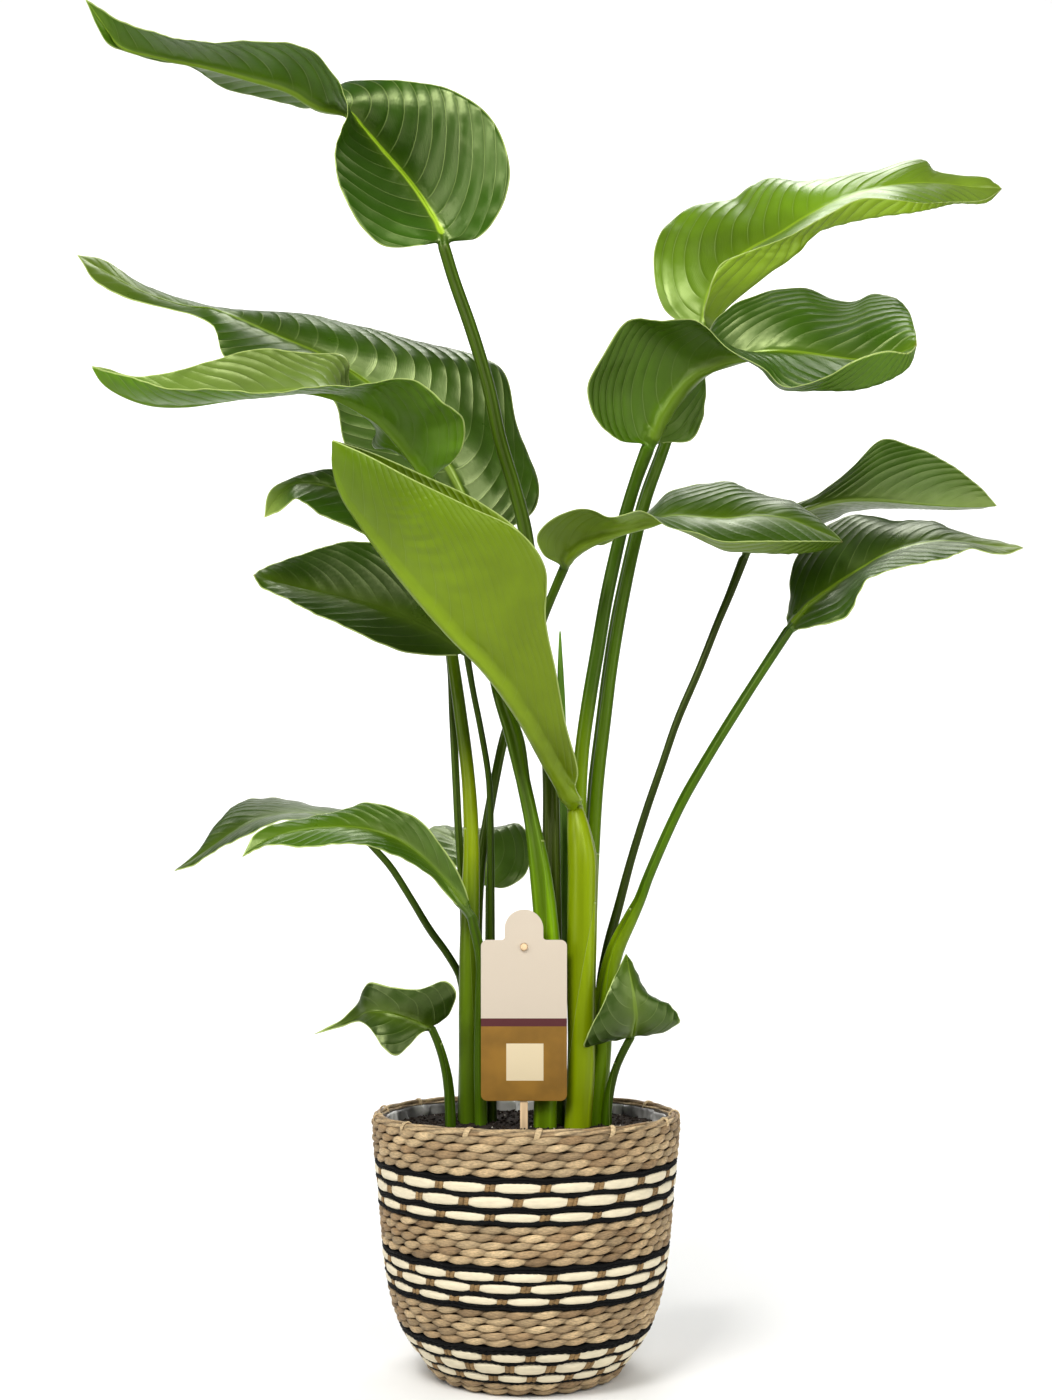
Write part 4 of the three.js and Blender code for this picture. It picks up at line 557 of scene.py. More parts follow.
class Shape:
    """Points, faces and point values gathered for one mesh, in millimetres."""

    def __init__(self):
        self.points, self.faces, self.slots, self.values = [], [], [], {}
        self.count = 0

    def add(self, points, faces, slot=0, **values):
        """Points and their faces, in one slot or a list of slots, with values by name."""
        points = np.asarray(points, float).reshape(-1, 3)
        self.points.append(points)
        self.faces += [[index + self.count for index in face] for face in faces]
        self.slots += slot if isinstance(slot, list) else [slot] * len(faces)
        for key, value in values.items():
            value = np.asarray(value, float)
            if value.shape == (3,):
                value = np.broadcast_to(value, (len(points), 3))
            self.values.setdefault(key, []).append(value)
        self.count += len(points)

    def tubes(self, rings, slot=0, **values):
        """Closed tubes from an array of tube x ring x point around x 3, with flat ends."""
        many, rows, around = rings.shape[:3]
        faces = []
        for base in range(0, many * rows * around, rows * around):
            top = base + (rows - 1) * around
            faces.append(list(range(base, base + around))[::-1])
            for low in range(base, top, around):
                faces += quads(low, low + around, around)
            faces.append(list(range(top, top + around)))
        self.add(rings, faces, slot, **values)

    def hoop(self, sections, **values):
        """A closed hoop from an array of step x point of its section x 3."""
        steps, around = sections.shape[:2]
        faces = []
        for s in range(steps):
            here, there = s * around, (s + 1) % steps * around
            for k in range(around):
                n = (k + 1) % around
                faces.append([here + k, there + k, there + n, here + n])
        self.add(sections, faces, **values)

    def turned(self, loops, bottom, top, **values):
        """A body of revolution closed on the axis: loops is step x point from below x 3."""
        steps, around = loops.shape[:2]
        poles = steps * around
        faces = []
        for s in range(steps):
            here, there = s * around, (s + 1) % steps * around
            faces.append([poles, there, here])
            faces.append([poles + 1, here + around - 1, there + around - 1])
            for k in range(around - 1):
                faces.append([here + k, there + k, there + k + 1, here + k + 1])
        points = np.vstack([loops.reshape(-1, 3), [[0, 0, bottom], [0, 0, top]]])
        self.add(points, faces, **values)

    def build(self, name, materials, nodes):
        """Make the mesh and stand it for CAD nodes."""
        mesh = bpy.data.meshes.new(name)
        mesh.from_pydata((np.vstack(self.points) * MM).tolist(), [], self.faces)
        for material in materials:
            mesh.materials.append(material)
        mesh.polygons.foreach_set("material_index", self.slots)
        mesh.polygons.foreach_set("use_smooth", [True] * len(mesh.polygons))
        for key, parts in self.values.items():
            data = np.concatenate(parts).astype(np.float32)
            if data.ndim == 1:
                mesh.attributes.new(key, "FLOAT", "POINT").data.foreach_set("value", data)
            else:
                data = np.hstack([data, np.ones((len(data), 1), np.float32)]).ravel()
                mesh.attributes.new(key, "FLOAT_COLOR", "POINT").data.foreach_set("color", data)
        mesh.update()
        stand(mesh, name, nodes)


class Shader:
    """A material's nodes, built by short calls."""

    def __init__(self, name):
        self.material = bpy.data.materials.new(name)
        self.material.use_nodes = True
        self.tree = self.material.node_tree
        self.surface = self.tree.nodes["Principled BSDF"]
        self.output = self.tree.nodes["Material Output"]

    def node(self, kind, inputs=None, **settings):
        """A new node with its inputs linked or set."""
        made = self.tree.nodes.new("ShaderNode" + kind)
        for key, value in settings.items():
            setattr(made, key, value)
        for key, value in (inputs or {}).items():
            self.set(made.inputs[key], value)
        return made

    def set(self, socket, value):
        """Link a socket into an input, or give the input a constant."""
        if isinstance(value, bpy.types.NodeSocket):
            self.tree.links.new(value, socket)
        elif socket.type == "RGBA" and len(value) == 3:
            socket.default_value = (*value, 1)
        else:
            socket.default_value = value

    def value(self, name):
        return self.node("Attribute", attribute_name=name).outputs["Fac"]

    def colour(self, name):
        return self.node("Attribute", attribute_name=name).outputs["Color"]

    def maths(self, operation, a, b=0.0, c=0.0):
        return self.node("Math", {0: a, 1: b, 2: c}, operation=operation).outputs[0]

    def times(self, a, b):
        return self.maths("MULTIPLY", a, b)

    def fold(self, value, step):
        """A value that runs from 0 to 1 and back within each step."""
        return self.maths("DIVIDE", self.maths("PINGPONG", value, step / 2), step / 2)

    def ramp(self, value, low, high, out_low=0.0, out_high=1.0):
        """A smooth step between two levels of a value."""
        spans = {"From Min": low, "From Max": high, "To Min": out_low, "To Max": out_high}
        made = self.node("MapRange", {"Value": value, **spans}, interpolation_type="SMOOTHSTEP")
        return made.outputs["Result"]

    def mix(self, factor, a, b, blend="MIX"):
        made = self.node("Mix", data_type="RGBA", blend_type=blend)
        for index, value in ((0, factor), (6, a), (7, b)):
            self.set(made.inputs[index], value)
        return made.outputs[2]

    def tone(self, colour, level):
        """A colour made darker or lighter by a level."""
        grey = self.node("CombineColor", {0: level, 1: level, 2: level}).outputs[0]
        return self.mix(1.0, colour, grey, "MULTIPLY")

    def noise(self, scale, detail=3.0, roughness=0.55, along=1.0):
        """Noise in the object's space; along scales it in height."""
        spot = self.node("TexCoord").outputs["Object"]
        spot = self.node("Mapping", {"Vector": spot, "Scale": (1, 1, along)}).outputs[0]
        fields = {"Vector": spot, "Scale": scale, "Detail": detail, "Roughness": roughness}
        return self.node("TexNoise", fields).outputs["Fac"]

    def bump(self, height, distance=0.001, strength=1.0):
        made = self.node("Bump", {"Strength": strength, "Distance": distance, "Height": height})
        return made.outputs["Normal"]

    def blend(self, factor, a, b):
        """Send two surfaces, mixed by a factor, to the output."""
        made = self.node("MixShader", {0: factor, 1: a, 2: b})
        self.set(self.output.inputs["Surface"], made.outputs[0])

    def finish(self, colour, roughness, gloss, normal=None, sheen=(1, 1, 1)):
        """Set the surface; gloss is its specular level and sheen its tint."""
        fields = {
            "Base Color": colour, "Roughness": roughness, "Specular IOR Level": gloss,
            "Specular Tint": sheen,
        }
        for key, value in fields.items():
            self.set(self.surface.inputs[key], value)
        if normal is not None:
            self.set(self.surface.inputs["Normal"], normal)
        return self.material


def blade_material(name, colours, roughness, gloss, through, side):
    """A leaf face: its own tint, veins between soft pleats with painted shade beside each crease, a
    midrib and a pale margin.

    through is the share of light that passes the blade; side is 1 above and -1 below.
    """
    s = Shader(name)
    show = s.times(s.value("show"), s.ramp(s.noise(9.0, 2.0), 0.35, 0.62, 0.35, 1.0))
    bent = s.maths("MULTIPLY_ADD", s.noise(14.0, 2.0), 5.0, s.value("vein"))
    cell = s.fold(bent, VEIN_STEP)
    fine = s.times(s.fold(bent, FINE_STEP), show)
    line = s.times(s.ramp(cell, 0.0, 0.1, 1.0, 0.0), show)
    # Painted shade: a darker band beside each vein crease, taken off the blotchy tone below
    shade = s.times(s.ramp(cell, 0.0, 0.45, 1.0, 0.0), show)
    blotch_and_crease_shade = s.ramp(s.noise(7.0, 4.0, 0.6), 0.3, 0.7, 0.72, 1.2)
    blotch_and_crease_shade = s.maths("SUBTRACT", blotch_and_crease_shade, s.times(shade, 0.24))
    blotch_and_crease_shade = s.maths("SUBTRACT", blotch_and_crease_shade, s.times(fine, 0.07))
    toned = s.mix(s.times(line, 0.34), s.tone(s.colour("tint"), blotch_and_crease_shade), colours.vein)
    rib = s.ramp(s.value("rib"), 0.75, 1.25, 0.95 if side > 0 else 0.4, 0.0)
    toned = s.mix(s.times(rib, s.value("midrib")), toned, colours.rib)
    toned = s.mix(s.ramp(s.value("edge"), 0.7, 1.8, 0.8, 0.0), toned, colours.margin)
    pleat = s.times(cell, s.maths("SUBTRACT", 2.0, cell))
    relief = s.times(s.times(pleat, show), 1.3 * side)
    relief = s.maths("MULTIPLY_ADD", fine, 0.07, relief)
    relief = s.maths("MULTIPLY_ADD", s.noise(60.0, 3.0), 0.35, relief)
    rough = s.ramp(s.noise(18.0, 4.0, 0.65), 0.3, 0.72, roughness, roughness + 0.16)
    s.finish(toned, rough, gloss, s.bump(relief), sheen=(0.86, 1.0, 0.46))
    glow = s.node("BsdfTranslucent", {"Color": s.mix(0.4, toned, LEAF_GLOW)})
    s.blend(through, s.surface.outputs[0], glow.outputs[0])
    return s.material


def stalk_material(colours):
    """A leaf stalk: its own tint with fine streaks along it, and the edges of its sheaths."""
    s = Shader("stalk")
    streak = s.noise(60.0, 3.0, 0.6, along=0.05)
    toned = s.tone(s.colour("tint"), s.ramp(streak, 0.3, 0.7, 0.8, 1.14))
    sheath = s.value("sheath")
    below = s.ramp(sheath, -0.8, 0.8, 1.0, 0.0)
    fading = s.times(below, s.ramp(sheath, -160.0, -10.0, 0.0, 0.75))
    toned = s.mix(fading, toned, s.tone(toned, 1.25))
    edge = s.ramp(s.maths("ABSOLUTE", s.maths("ADD", sheath, 0.9)), 0.3, 1.5, 0.7, 0.0)
    toned = s.mix(edge, toned, colours.margin)
    height = s.maths("MULTIPLY_ADD", below, 1.4, s.times(streak, 0.4))
    return s.finish(toned, 0.34, 0.26, s.bump(height), sheen=(0.92, 1.0, 0.5))


def curve(leaf, key):
    """Control points of a margin or the midrib, from the top of the stalk to the tip."""
    return np.array([leaf["stalk"][-1][:3], *leaf[key], leaf["tip"]], float)


def lip_line(leaf):
    """Control points of the turned-over edge: a plain margin up to where the lip starts."""
    edge, rib = curve(leaf, "right"), curve(leaf, "rib")
    start = leaf["lip_from"]
    away = (edge - rib)[1:start]
    plain = edge[1:start] + LIP * away / np.linalg.norm(away, axis=1, keepdims=True)
    return np.vstack([edge[:1], plain, leaf["lip"]])


def grid_normals(grid):
    """Normals of a grid of points."""
    return unit(np.cross(np.gradient(grid, axis=1), np.gradient(grid, axis=0)))


def blade_relief(leaf, blade, sizes):
    """How far each point of a blade stands off its middle surface: waves and pleats."""
    t, reach, share, on_left = blade["t"], blade["reach"], blade["share"], blade["on_left"]
    amplitude, count, phase = leaf["wave"]
    # Waves grow towards the margins, the right one against the left
    wave = amplitude * np.sin(2 * np.pi * count * t + phase)[:, None] * reach**2
    wave = np.where(on_left, wave, -0.8 * wave)
    wave += 0.5 * np.sin(2 * np.pi * 3.3 * count * t + 2 * phase)[:, None] * reach**3
    # Pleats follow the main veins, deeper in some places than in others
    spots = [noise.noise(Vector((a * 0.02, phase, 7))) for a in blade["along"]]
    uneven = (0.35 + 0.9 * np.abs(spots))[:, None] * 1.6
    pleat = (np.sin(np.pi * blade["vein"] / VEIN_STEP) ** 2 - 0.5) * uneven * sizes.pleat / MM
    pleat *= ease(share * 6) * (1 - 0.4 * share) * np.minimum(blade["widths"] / 45, 1)
    taper = (ease(t / 0.08) * ease((1 - t) / 0.06))[:, None]
    return (wave * blade["free"] + pleat) * taper


def blade_surface(leaf, sizes):
    """The blade's middle surface and what is known of each of its points."""
    curves = {key: place(curve(leaf, key)) for key in ("left", "rib", "right")}
    length = distances(spline(curves["rib"], np.linspace(0, 1, 80)))[-1]
    rows = int(np.clip(length / (sizes.row_step / MM), 40, 180))
    t = np.linspace(0, 1, rows + 2)[1:-1]
    left, rib, right = (spline(curves[key], t) for key in ("left", "rib", "right"))
    tangent = unit(np.gradient(rib, axis=0))
    columns, signs, fold = [], [], []
    for edge, sign, shares in ((left, -1, ACROSS[::-1]), (right, 1, ACROSS[1:])):
        normal = unit(np.cross((edge - rib) * sign, tangent))
        width = np.linalg.norm(edge - rib, axis=1)
        for u in shares:
            arch = leaf["bulge"] * width * 4 * u * (1 - u)
            columns.append(rib + (edge - rib) * u + normal * arch[:, None])
            signs.append(sign * u)
            fold.append(0)
    turned = np.zeros(rows)
    if "lip" in leaf:
        lip = spline(place(lip_line(leaf)), t)
        turned = np.linalg.norm(lip - right, axis=1)
        for v in LIP_COLUMNS:
            columns.append(right + (lip - right) * v)
            signs.append(1.0)
            fold.append(v)
    grid = np.stack(columns, axis=1)
    signs, fold = np.array(signs)[None, :], np.array(fold)[None, :]
    on_left, reach = signs < 0, np.abs(signs)
    half_widths = [np.linalg.norm(edge - rib, axis=1)[:, None] for edge in (left, right)]
    widths = np.where(on_left, *half_widths)
    turned = np.where(on_left, 0, turned[:, None])
    distance = widths * reach + turned * fold
    share = distance / np.maximum(widths + turned, 1e-6)

    # Each main vein leaves the rib, sweeps towards the tip and wavers on its way
    along = distances(rib)
    wobble = VEIN_WAVER * np.sin(along / WAVER_LENGTH + 2.0 * leaf["wave"][2])
    sweep = PAINT[leaf["name"]].sweep * (0.4 * share + 0.75 * share**2)
    blade = {
        "t": t, "rib": rib, "tangent": tangent, "along": along, "reach": reach, "share": share,
        "on_left": on_left, "widths": widths, "distance": distance,
        "edge": widths + turned - distance,
        "vein": along[:, None] + wobble[:, None] * (0.4 + share) - (widths + turned) * sweep,
        "free": np.where("lip" in leaf, 1 - np.sign(fold + (signs > 0)), 1),
    }
    grid = grid + grid_normals(grid) * blade_relief(leaf, blade, sizes)[..., None]
    return {**blade, "grid": grid, "normal": grid_normals(grid)}


def stalk_centres(stalk, step):
    """The stalk's centre line from its root to the blade, its directions and its radii."""
    drawn = place([point[:3] for point in stalk])
    root, foot = drawn[0].copy(), drawn[0].copy()
    root[2], foot[2] = SOIL_HEIGHT - 1 - ROOT_DEPTH, SOIL_HEIGHT + 3
    points = np.vstack([root, foot, drawn[1:]])
    widths = np.array([stalk[0][3], *(point[3] for point in stalk)])
    shares = np.linspace(0, 1, int(distances(points)[-1] / step) + 2)
    centres = spline(points, shares)
    radii = np.interp(shares * (len(points) - 1), np.arange(len(points)), widths) / 2
    return centres, unit(np.gradient(centres, axis=0)), radii


def ring_angles(around):
    """Angles of the points of a leaf's ring; its upper side is at a quarter turn."""
    return np.pi - (np.arange(around) + 0.5) * 2 * np.pi / around


def stalk_rings(centres, tangents, radii, across, around, groove):
    """Rings of a stalk with a channel along its upper side, from its root up."""
    angles = ring_angles(around)
    channel = np.exp(-(((angles - np.pi / 2) / CHANNEL) ** 2))
    foot = SOIL_HEIGHT + CHANNEL_FOOT
    rings = []
    for centre, tangent, radius in zip(centres[::-1], tangents[::-1], radii[::-1]):
        across = unit(across - tangent * np.dot(across, tangent))
        normal = unit(np.cross(across, tangent))
        depth = 1 - groove * channel * ease((centre[2] - foot) / CHANNEL_RISE)
        reach = radius * depth * (1 + 0.03 * noise.noise(Vector(centre * 0.02)))
        ring = centre + np.outer(reach * np.cos(angles), across)
        rings.append(ring + np.outer(reach * np.sin(angles), normal))
    return np.array(rings[::-1])


def blade_rings(blade, rib_radius, thickness):
    """Rings round a blade: its upper face, then its lower one with the midrib standing out."""
    half = np.minimum(
        thickness / 2 * (1 - 0.4 * blade["reach"] ** 2), blade["widths"] * 0.15 + 0.05
    )
    inside = 1 - (blade["distance"] / (1.3 * rib_radius)) ** 2
    ridge = 1.5 * rib_radius * np.sqrt(np.maximum(0, inside))
    above = blade["grid"] + blade["normal"] * (half + 0.25 * ridge)[..., None]
    below = blade["grid"] - blade["normal"] * (half + ridge)[..., None]
    return both_faces(above, below)


def both_faces(upper, lower=None):
    """Values of the upper face and, the other way round, of the lower face."""
    lower = upper if lower is None else lower
    return np.concatenate([upper, lower[:, ::-1]], axis=1)


def blade_tints(leaf, blade, colours, under):
    """The tint of each point of one face of a blade."""
    paint = PAINT[leaf["name"]]
    spots = np.array([[noise.noise(Vector(p * 0.011)) for p in row] for row in blade["grid"]])
    tint = linear(paint.lower if under else paint.upper) * (1 + 0.3 * spots)[..., None]
    t = blade["t"][:, None] + 0 * blade["distance"]
    tint = mixed(tint, linear(paint.tip), ease((t - 1 + paint.tip_reach) / paint.tip_reach) * 0.9)
    tint = mixed(tint, np.array(colours.rib), np.exp(-((blade["distance"] / 12) ** 2)) * 0.12)
    dried = DRY_TIPS.get(leaf["name"], 0.01)
    return mixed(tint, np.array(colours.dry), ease((t - 1 + dried) / dried) * 0.85)


def stalk_tints(paint, centres, around):
    """The tint of each point of a stalk, with painted shade down its channel and a painted
    highlight along each rim of it.
    """
    heights = [height for height, _ in paint.stalk]
    shades = np.array([linear(shade) for _, shade in paint.stalk])
    tint = np.stack([np.interp(centres[:, 2], heights, part) for part in shades.T], axis=1)
    aside = np.abs(ring_angles(around) - np.pi / 2)
    # Painted shade in the channel, and painted highlights along its rims
    level = 1 - 0.3 * np.exp(-((aside / 0.4) ** 2))
    level += 0.3 * np.exp(-(((aside - 0.62) / 0.09) ** 2))
    return tint[:, None, :] * level[None, :, None] * STALK_CAST


def sheath_heights(name, centres, rings):
    """How far each point of a stalk stands above the nearest edge of a sheath."""
    outward = unit(rings - centres[:, None, :])
    height = np.full(rings.shape[:2], NO_SHEATH)
    for peak, drop, side in SHEATHS.get(name, ()):
        slant = np.clip((1 - side * outward[..., 0]) / 2 + 0.25 * outward[..., 1], 0, 1) ** 0.8
        height = np.minimum(height, centres[:, 2][:, None] - peak + drop * slant)
    return height


def build_leaf(leaf, sizes, colours, materials):
    """One leaf with its stalk as one closed body."""
    name = leaf["name"]
    paint = PAINT[name]
    blade = blade_surface(leaf, sizes)
    centres, tangents, radii = stalk_centres(leaf["stalk"], sizes.row_step / MM * 4)
    t, columns = blade["t"], blade["grid"].shape[1]
    around = 2 * columns
    across = blade["grid"][3, -1] - blade["grid"][3, 0]
    stalk = stalk_rings(centres, tangents, radii, across, around, sizes.groove)
    rib_radius = np.maximum(radii[-1] * (1 - t) ** 0.9, 0.5)[:, None]
    rings = blade_rings(blade, rib_radius, sizes.thickness / MM)
    share = ease(t / RUN_IN)
    count = np.sum(share < 1)
    run_in = stalk_rings(
        blade["rib"][:count], blade["tangent"][:count], np.full(count, radii[-1] * 0.96),
        across, around, sizes.groove,
    )
    rings[:count] = mixed(run_in, rings[:count], share[:count, None])

    blade_tint = both_faces(*(blade_tints(leaf, blade, colours, under) for under in (False, True)))
    blade_tint = mixed(linear(paint.stalk[-1][1]), blade_tint, share[:, None]) * BLADE_CAST
    stalk_tint = stalk_tints(paint, centres, around)
    tint = np.concatenate([stalk_tint, blade_tint]).reshape(-1, 3)
    still = 1 - share[:, None]
    show = paint.veins * ease(blade["distance"] / 16) * share[:, None]
    show = show * np.minimum(blade["widths"] / 30, 1)

    rows = len(stalk) + len(rings)
    last, tip = (rows - 1) * around, rows * around
    faces = [list(range(around))[::-1]]
    for low in range(0, last, around):
        faces += quads(low, low + around, around)
    faces += [[last + k, last + (k + 1) % around, tip] for k in range(around)]
    on_blade = [UPPER] * (columns - 1) + [LOWER] * (around - columns) + [UPPER]
    slots = [STALK] * (1 + around * len(stalk)) + on_blade * (len(rings) - 1) + [UPPER] * around
    points = np.vstack([np.concatenate([stalk, rings]).reshape(-1, 3), place([leaf["tip"]])])
    values = {
        "tint": np.vstack([tint, [np.array(colours.dry)]]),
        "midrib": np.full(len(points), paint.midrib),
        "sheath": np.full(len(points), NO_SHEATH),
    }
    values["sheath"][:stalk[..., 0].size] = sheath_heights(name, centres, stalk).ravel()
    point_values = {
        "vein": (blade["vein"], 0), "show": (show, 0),
        "edge": (blade["edge"] + NO_EDGE * still, NO_EDGE),
        "rib": (blade["distance"] / rib_radius + NO_RIB * still, NO_RIB),
    }
    for key, (known, on_stalk) in point_values.items():
        data = np.concatenate([np.full((len(stalk), around), on_stalk), both_faces(known)])
        values[key] = np.append(data.ravel(), data[-1, 0])
    shape = Shape()
    shape.add(points, [face[::-1] for face in faces], slots, **values)
    shape.build(name + "_leaf", materials, [name])


def build_spear(materials):
    """The youngest leaf, still rolled, with the seam of its roll."""
    around = 20
    centres, tangents, radii = stalk_centres(SPEAR, 6)
    radii[-1] = 0.6
    rings = stalk_rings(centres, tangents, radii, np.array([1.0, 0.3, 0]), around, 0.3)
    (low, dull), (high, fresh) = SPEAR_PAINT
    rise = ease((centres[:, 2] - low) / (high - low))
    tint = np.repeat(mixed(linear(dull), linear(fresh), rise), around, axis=0)
    shape = Shape()
    shape.tubes(rings[None], tint=tint, sheath=np.full(len(tint), NO_SHEATH))
    shape.build("leaf_spear_leaf", materials, ["leaf_spear"])


def wall_points(heights, out=0.0):
    """Points [radius, height] of the basket's wall at heights, moved out along its normal."""
    knots = np.array(WALL, float)
    line = cubic(
        knots, knots[0], knots[-1], np.linspace(0, len(knots) - 1, 401),
        lambda p0, p1, p2, p3: ((p2 - p0) / 2, (p3 - p1) / 2),
    )
    slope = unit(np.gradient(line, axis=0))
    heights, out = np.asarray(heights, float), np.asarray(out, float)
    radius, run, rise = (
        np.interp(heights, line[:, 1], known) for known in (line[:, 0], slope[:, 0], slope[:, 1])
    )
    return np.stack([radius + out * rise, heights - out * run], axis=-1)


def round_axis(points, angles):
    """Points [radius, height] turned round the axis by angles, in radians from +X."""
    radius, height = points[..., 0], points[..., 1]
    return np.stack([radius * np.cos(angles), radius * np.sin(angles), height], axis=-1)


def turned_section(section, steps):
    """A section of points [radius, height] at even steps round the axis."""
    return round_axis(np.broadcast_to(section, (steps, *section.shape)), circle(steps)[:, None])


def band_rows(stripes):
    """Kind, top and bottom of each course of a striped band, from the top down."""
    rows, height = [], stripes["top"]
    for black, cream in zip_longest(stripes["black"], stripes["cream"]):
        for kind, size in (("black", black), ("cream", cream)):
            if size is not None:
                rows.append((kind, height, height - size))
                height -= size
    return rows


def courses(stripes, wanted):
    """Top and bottom of each course of one kind, from the top down."""
    return [(top, bottom) for kind, top, bottom in band_rows(stripes) if kind == wanted]


def tan_zones():
    """Heights between which tan courses run, from the foot up."""
    edges = [TAN_FROM]
    for stripes in reversed(BANDS):
        edges += [band_rows(stripes)[-1][2], stripes["top"]]
    edges.append(TAN_TO)
    return zip(edges[::2], edges[1::2])


def stitch_course(shape, low, high, count, start, draw, tints):
    """One course of overlapping stitches, each a short strand that dives in at both ends, with
    painted shade darkening those ends.
    """
    steps, around = 11, 8
    lean, widest = (high - low) * STITCH_LEAN, (high - low) * STITCH_HALF_HEIGHT
    along, turn = np.linspace(0, 1, steps), circle(around)
    swell = np.sin(np.pi * np.clip(along, 0.02, 0.98)) ** 0.95
    half_depth = STITCH_HALF_DEPTH * (0.45 + 0.55 * swell)
    rings, tint = np.empty((count, steps, around, 3)), np.empty((count, steps, around, 3))
    for k in range(count):
        middle = (start + k + draw.uniform(-0.06, 0.06)) * 2 * np.pi / count
        reach = STITCH_REACH * np.pi / count * draw.uniform(0.92, 1.08)
        angle = middle + reach * (2 * along - 1)
        height = (low + high) / 2 + lean * (2 * along - 1) + draw.uniform(-0.3, 0.3)
        out = STITCH_OUT * swell - STITCH_SUNK + draw.uniform(-0.3, 0.3)
        half_height = widest * (0.22 + 0.78 * swell) * draw.uniform(0.92, 1.06)
        level = height[:, None] + half_height[:, None] * np.sin(turn)
        lift = out[:, None] + half_depth[:, None] * np.cos(turn)
        rings[k] = round_axis(wall_points(level, lift), angle[:, None])
        shade = draw.uniform(0.78, 1.3)
        colour = mixed(*tints, draw.uniform(0, 1)) * shade
        # Painted shade: each stitch is darker towards its ends, where it dives into the wall
        tint[k] = colour * (0.3 + 0.7 * swell)[:, None, None]
    shape.tubes(rings, tint=tint.reshape(-1, 3))


def squeeze(name, n, wraps, angle):
    """How much a cream course is drawn in at an angle: 1 at its wraps, 0 between them."""
    if not 0 <= n < len(WRAP_STARTS[name]):
        return 0 * angle
    phase = (angle + np.pi / 2) * wraps / (2 * np.pi) - WRAP_STARTS[name][n]
    return np.abs(np.cos(np.pi * phase)) ** 6


def twisted_hoop(shape, height, sway, radius, turns, phase, tint):
    """A hoop of two-strand twine round the wall."""
    angle, turn = circle(420)[:, None], circle(8)[None, :]
    strand = radius * (0.7 + 0.42 * np.abs(np.cos(turn - turns * angle / 2 - phase)))
    level = height + sway(angle) + strand * np.sin(turn)
    lift = 0.6 + strand * np.cos(turn)
    shape.hoop(round_axis(wall_points(level, lift), angle), tint=tint)


def build_weave(sizes, colours, materials):
    """The basket's tan body: its wall, courses of stitches, bound rim and foot."""
    shape = Shape()
    draw = random.Random(11)
    tan = (np.array(colours.tan), np.array(colours.tan_dark))
    section = np.vstack([
        [[FOOT_FLAT, 0.0]], wall_points(OUTER_HEIGHTS, -WALL_BACK),
        wall_points(INNER_HEIGHTS, -WALL_THICKNESS), [[FLOOR_FLAT, FLOOR_THICKNESS]],
    ])
    # The wall behind the stitches is tinted dark as painted shade in the gaps between them
    shape.turned(turned_section(section, 180), 0, FLOOR_THICKNESS, tint=tan[1] * PAINTED_GAP_SHADE)
    row = 0
    for low, high in tan_zones():
        count = max(1, round((high - low) / (sizes.course / MM)))
        pitch = (high - low) / count
        for n in range(count):
            bottom = low + n * pitch
            radius = wall_points([bottom + pitch / 2])[0, 0]
            stitches = round(2 * np.pi * radius / (sizes.stitch / MM))
            stitch_course(shape, bottom, bottom + pitch, stitches, 0.5 * (row % 2), draw, tan)
            row += 1
    bind_rim(shape, draw, tan)
    tie_rim(shape, sizes, draw, tan)
    coil_foot(shape, draw, tan)
    shape.build("basket_weave", materials, ["basket_body"])


def bind_rim(shape, draw, tints):
    """Strands laid along the rim in pairs, with painted shade where the twist pinches each strand
    in.
    """
    angle, turn = circle(600)[:, None], circle(10)[None, :]
    for inward, drop, radius, turns in RIM_STRANDS:
        twist = np.cos(turn - turns * angle / 2)
        strand = radius * (0.7 + 0.38 * np.abs(twist))
        section = np.stack([
            RIM_RADIUS - inward + strand * np.cos(turn), RIM_HEIGHT - drop + strand * np.sin(turn),
        ], axis=-1)
        tones = np.array([[draw.uniform(0, 1) for _ in range(turns + 1)] for _ in range(2)])
        second = (twist > 0).astype(int)
        part = np.minimum((angle * turns / (2 * np.pi) + 0.25 * second).astype(int), turns)
        # Painted shade: each strand is darker where its twist pinches it in against the other
        tint = mixed(*tints, tones[second, part]) * (0.35 + 0.8 * np.abs(twist))[..., None]
        shape.hoop(round_axis(section, angle), tint=tint.reshape(-1, 3))


def tie_rim(shape, sizes, draw, tints):
    """Narrow ties over the strands of the rim, with painted shade towards their ends."""
    count = round(2 * np.pi * RIM_RADIUS / (sizes.tie_step / MM))
    steps, around = 15, 8
    along, turn = np.linspace(0, 1, steps), circle(around)
    path = spline([(radius, RIM_HEIGHT - drop, 0) for radius, drop in TIE_PATH], along)[:, :2]
    outward = unit(np.stack([np.gradient(path[:, 1]), -np.gradient(path[:, 0])], axis=1))
    half = 0.5 + 0.5 * np.sin(np.pi * np.clip(along, 0.05, 0.95)) ** 0.4
    rings, tint = np.empty((count, steps, around, 3)), np.empty((count, steps, around, 3))
    for k in range(count):
        angle = (k + draw.uniform(-0.1, 0.1)) * 2 * np.pi / count + 0.05 * (along - 0.5)
        wide = 2.8 / RIM_RADIUS * half * draw.uniform(0.8, 1.2)
        lift = 0.9 * half[:, None] * np.cos(turn)
        ring = path[:, None, :] + outward[:, None, :] * lift[..., None]
        rings[k] = round_axis(ring, angle[:, None] + wide[:, None] * np.sin(turn))
        # Painted shade: each tie is darker towards its ends, where it narrows into the wall
        tint[k] = tints[0] * draw.uniform(1.0, 1.3) * (0.45 + 0.55 * half)[:, None, None]
    shape.tubes(rings, tint=tint.reshape(-1, 3))


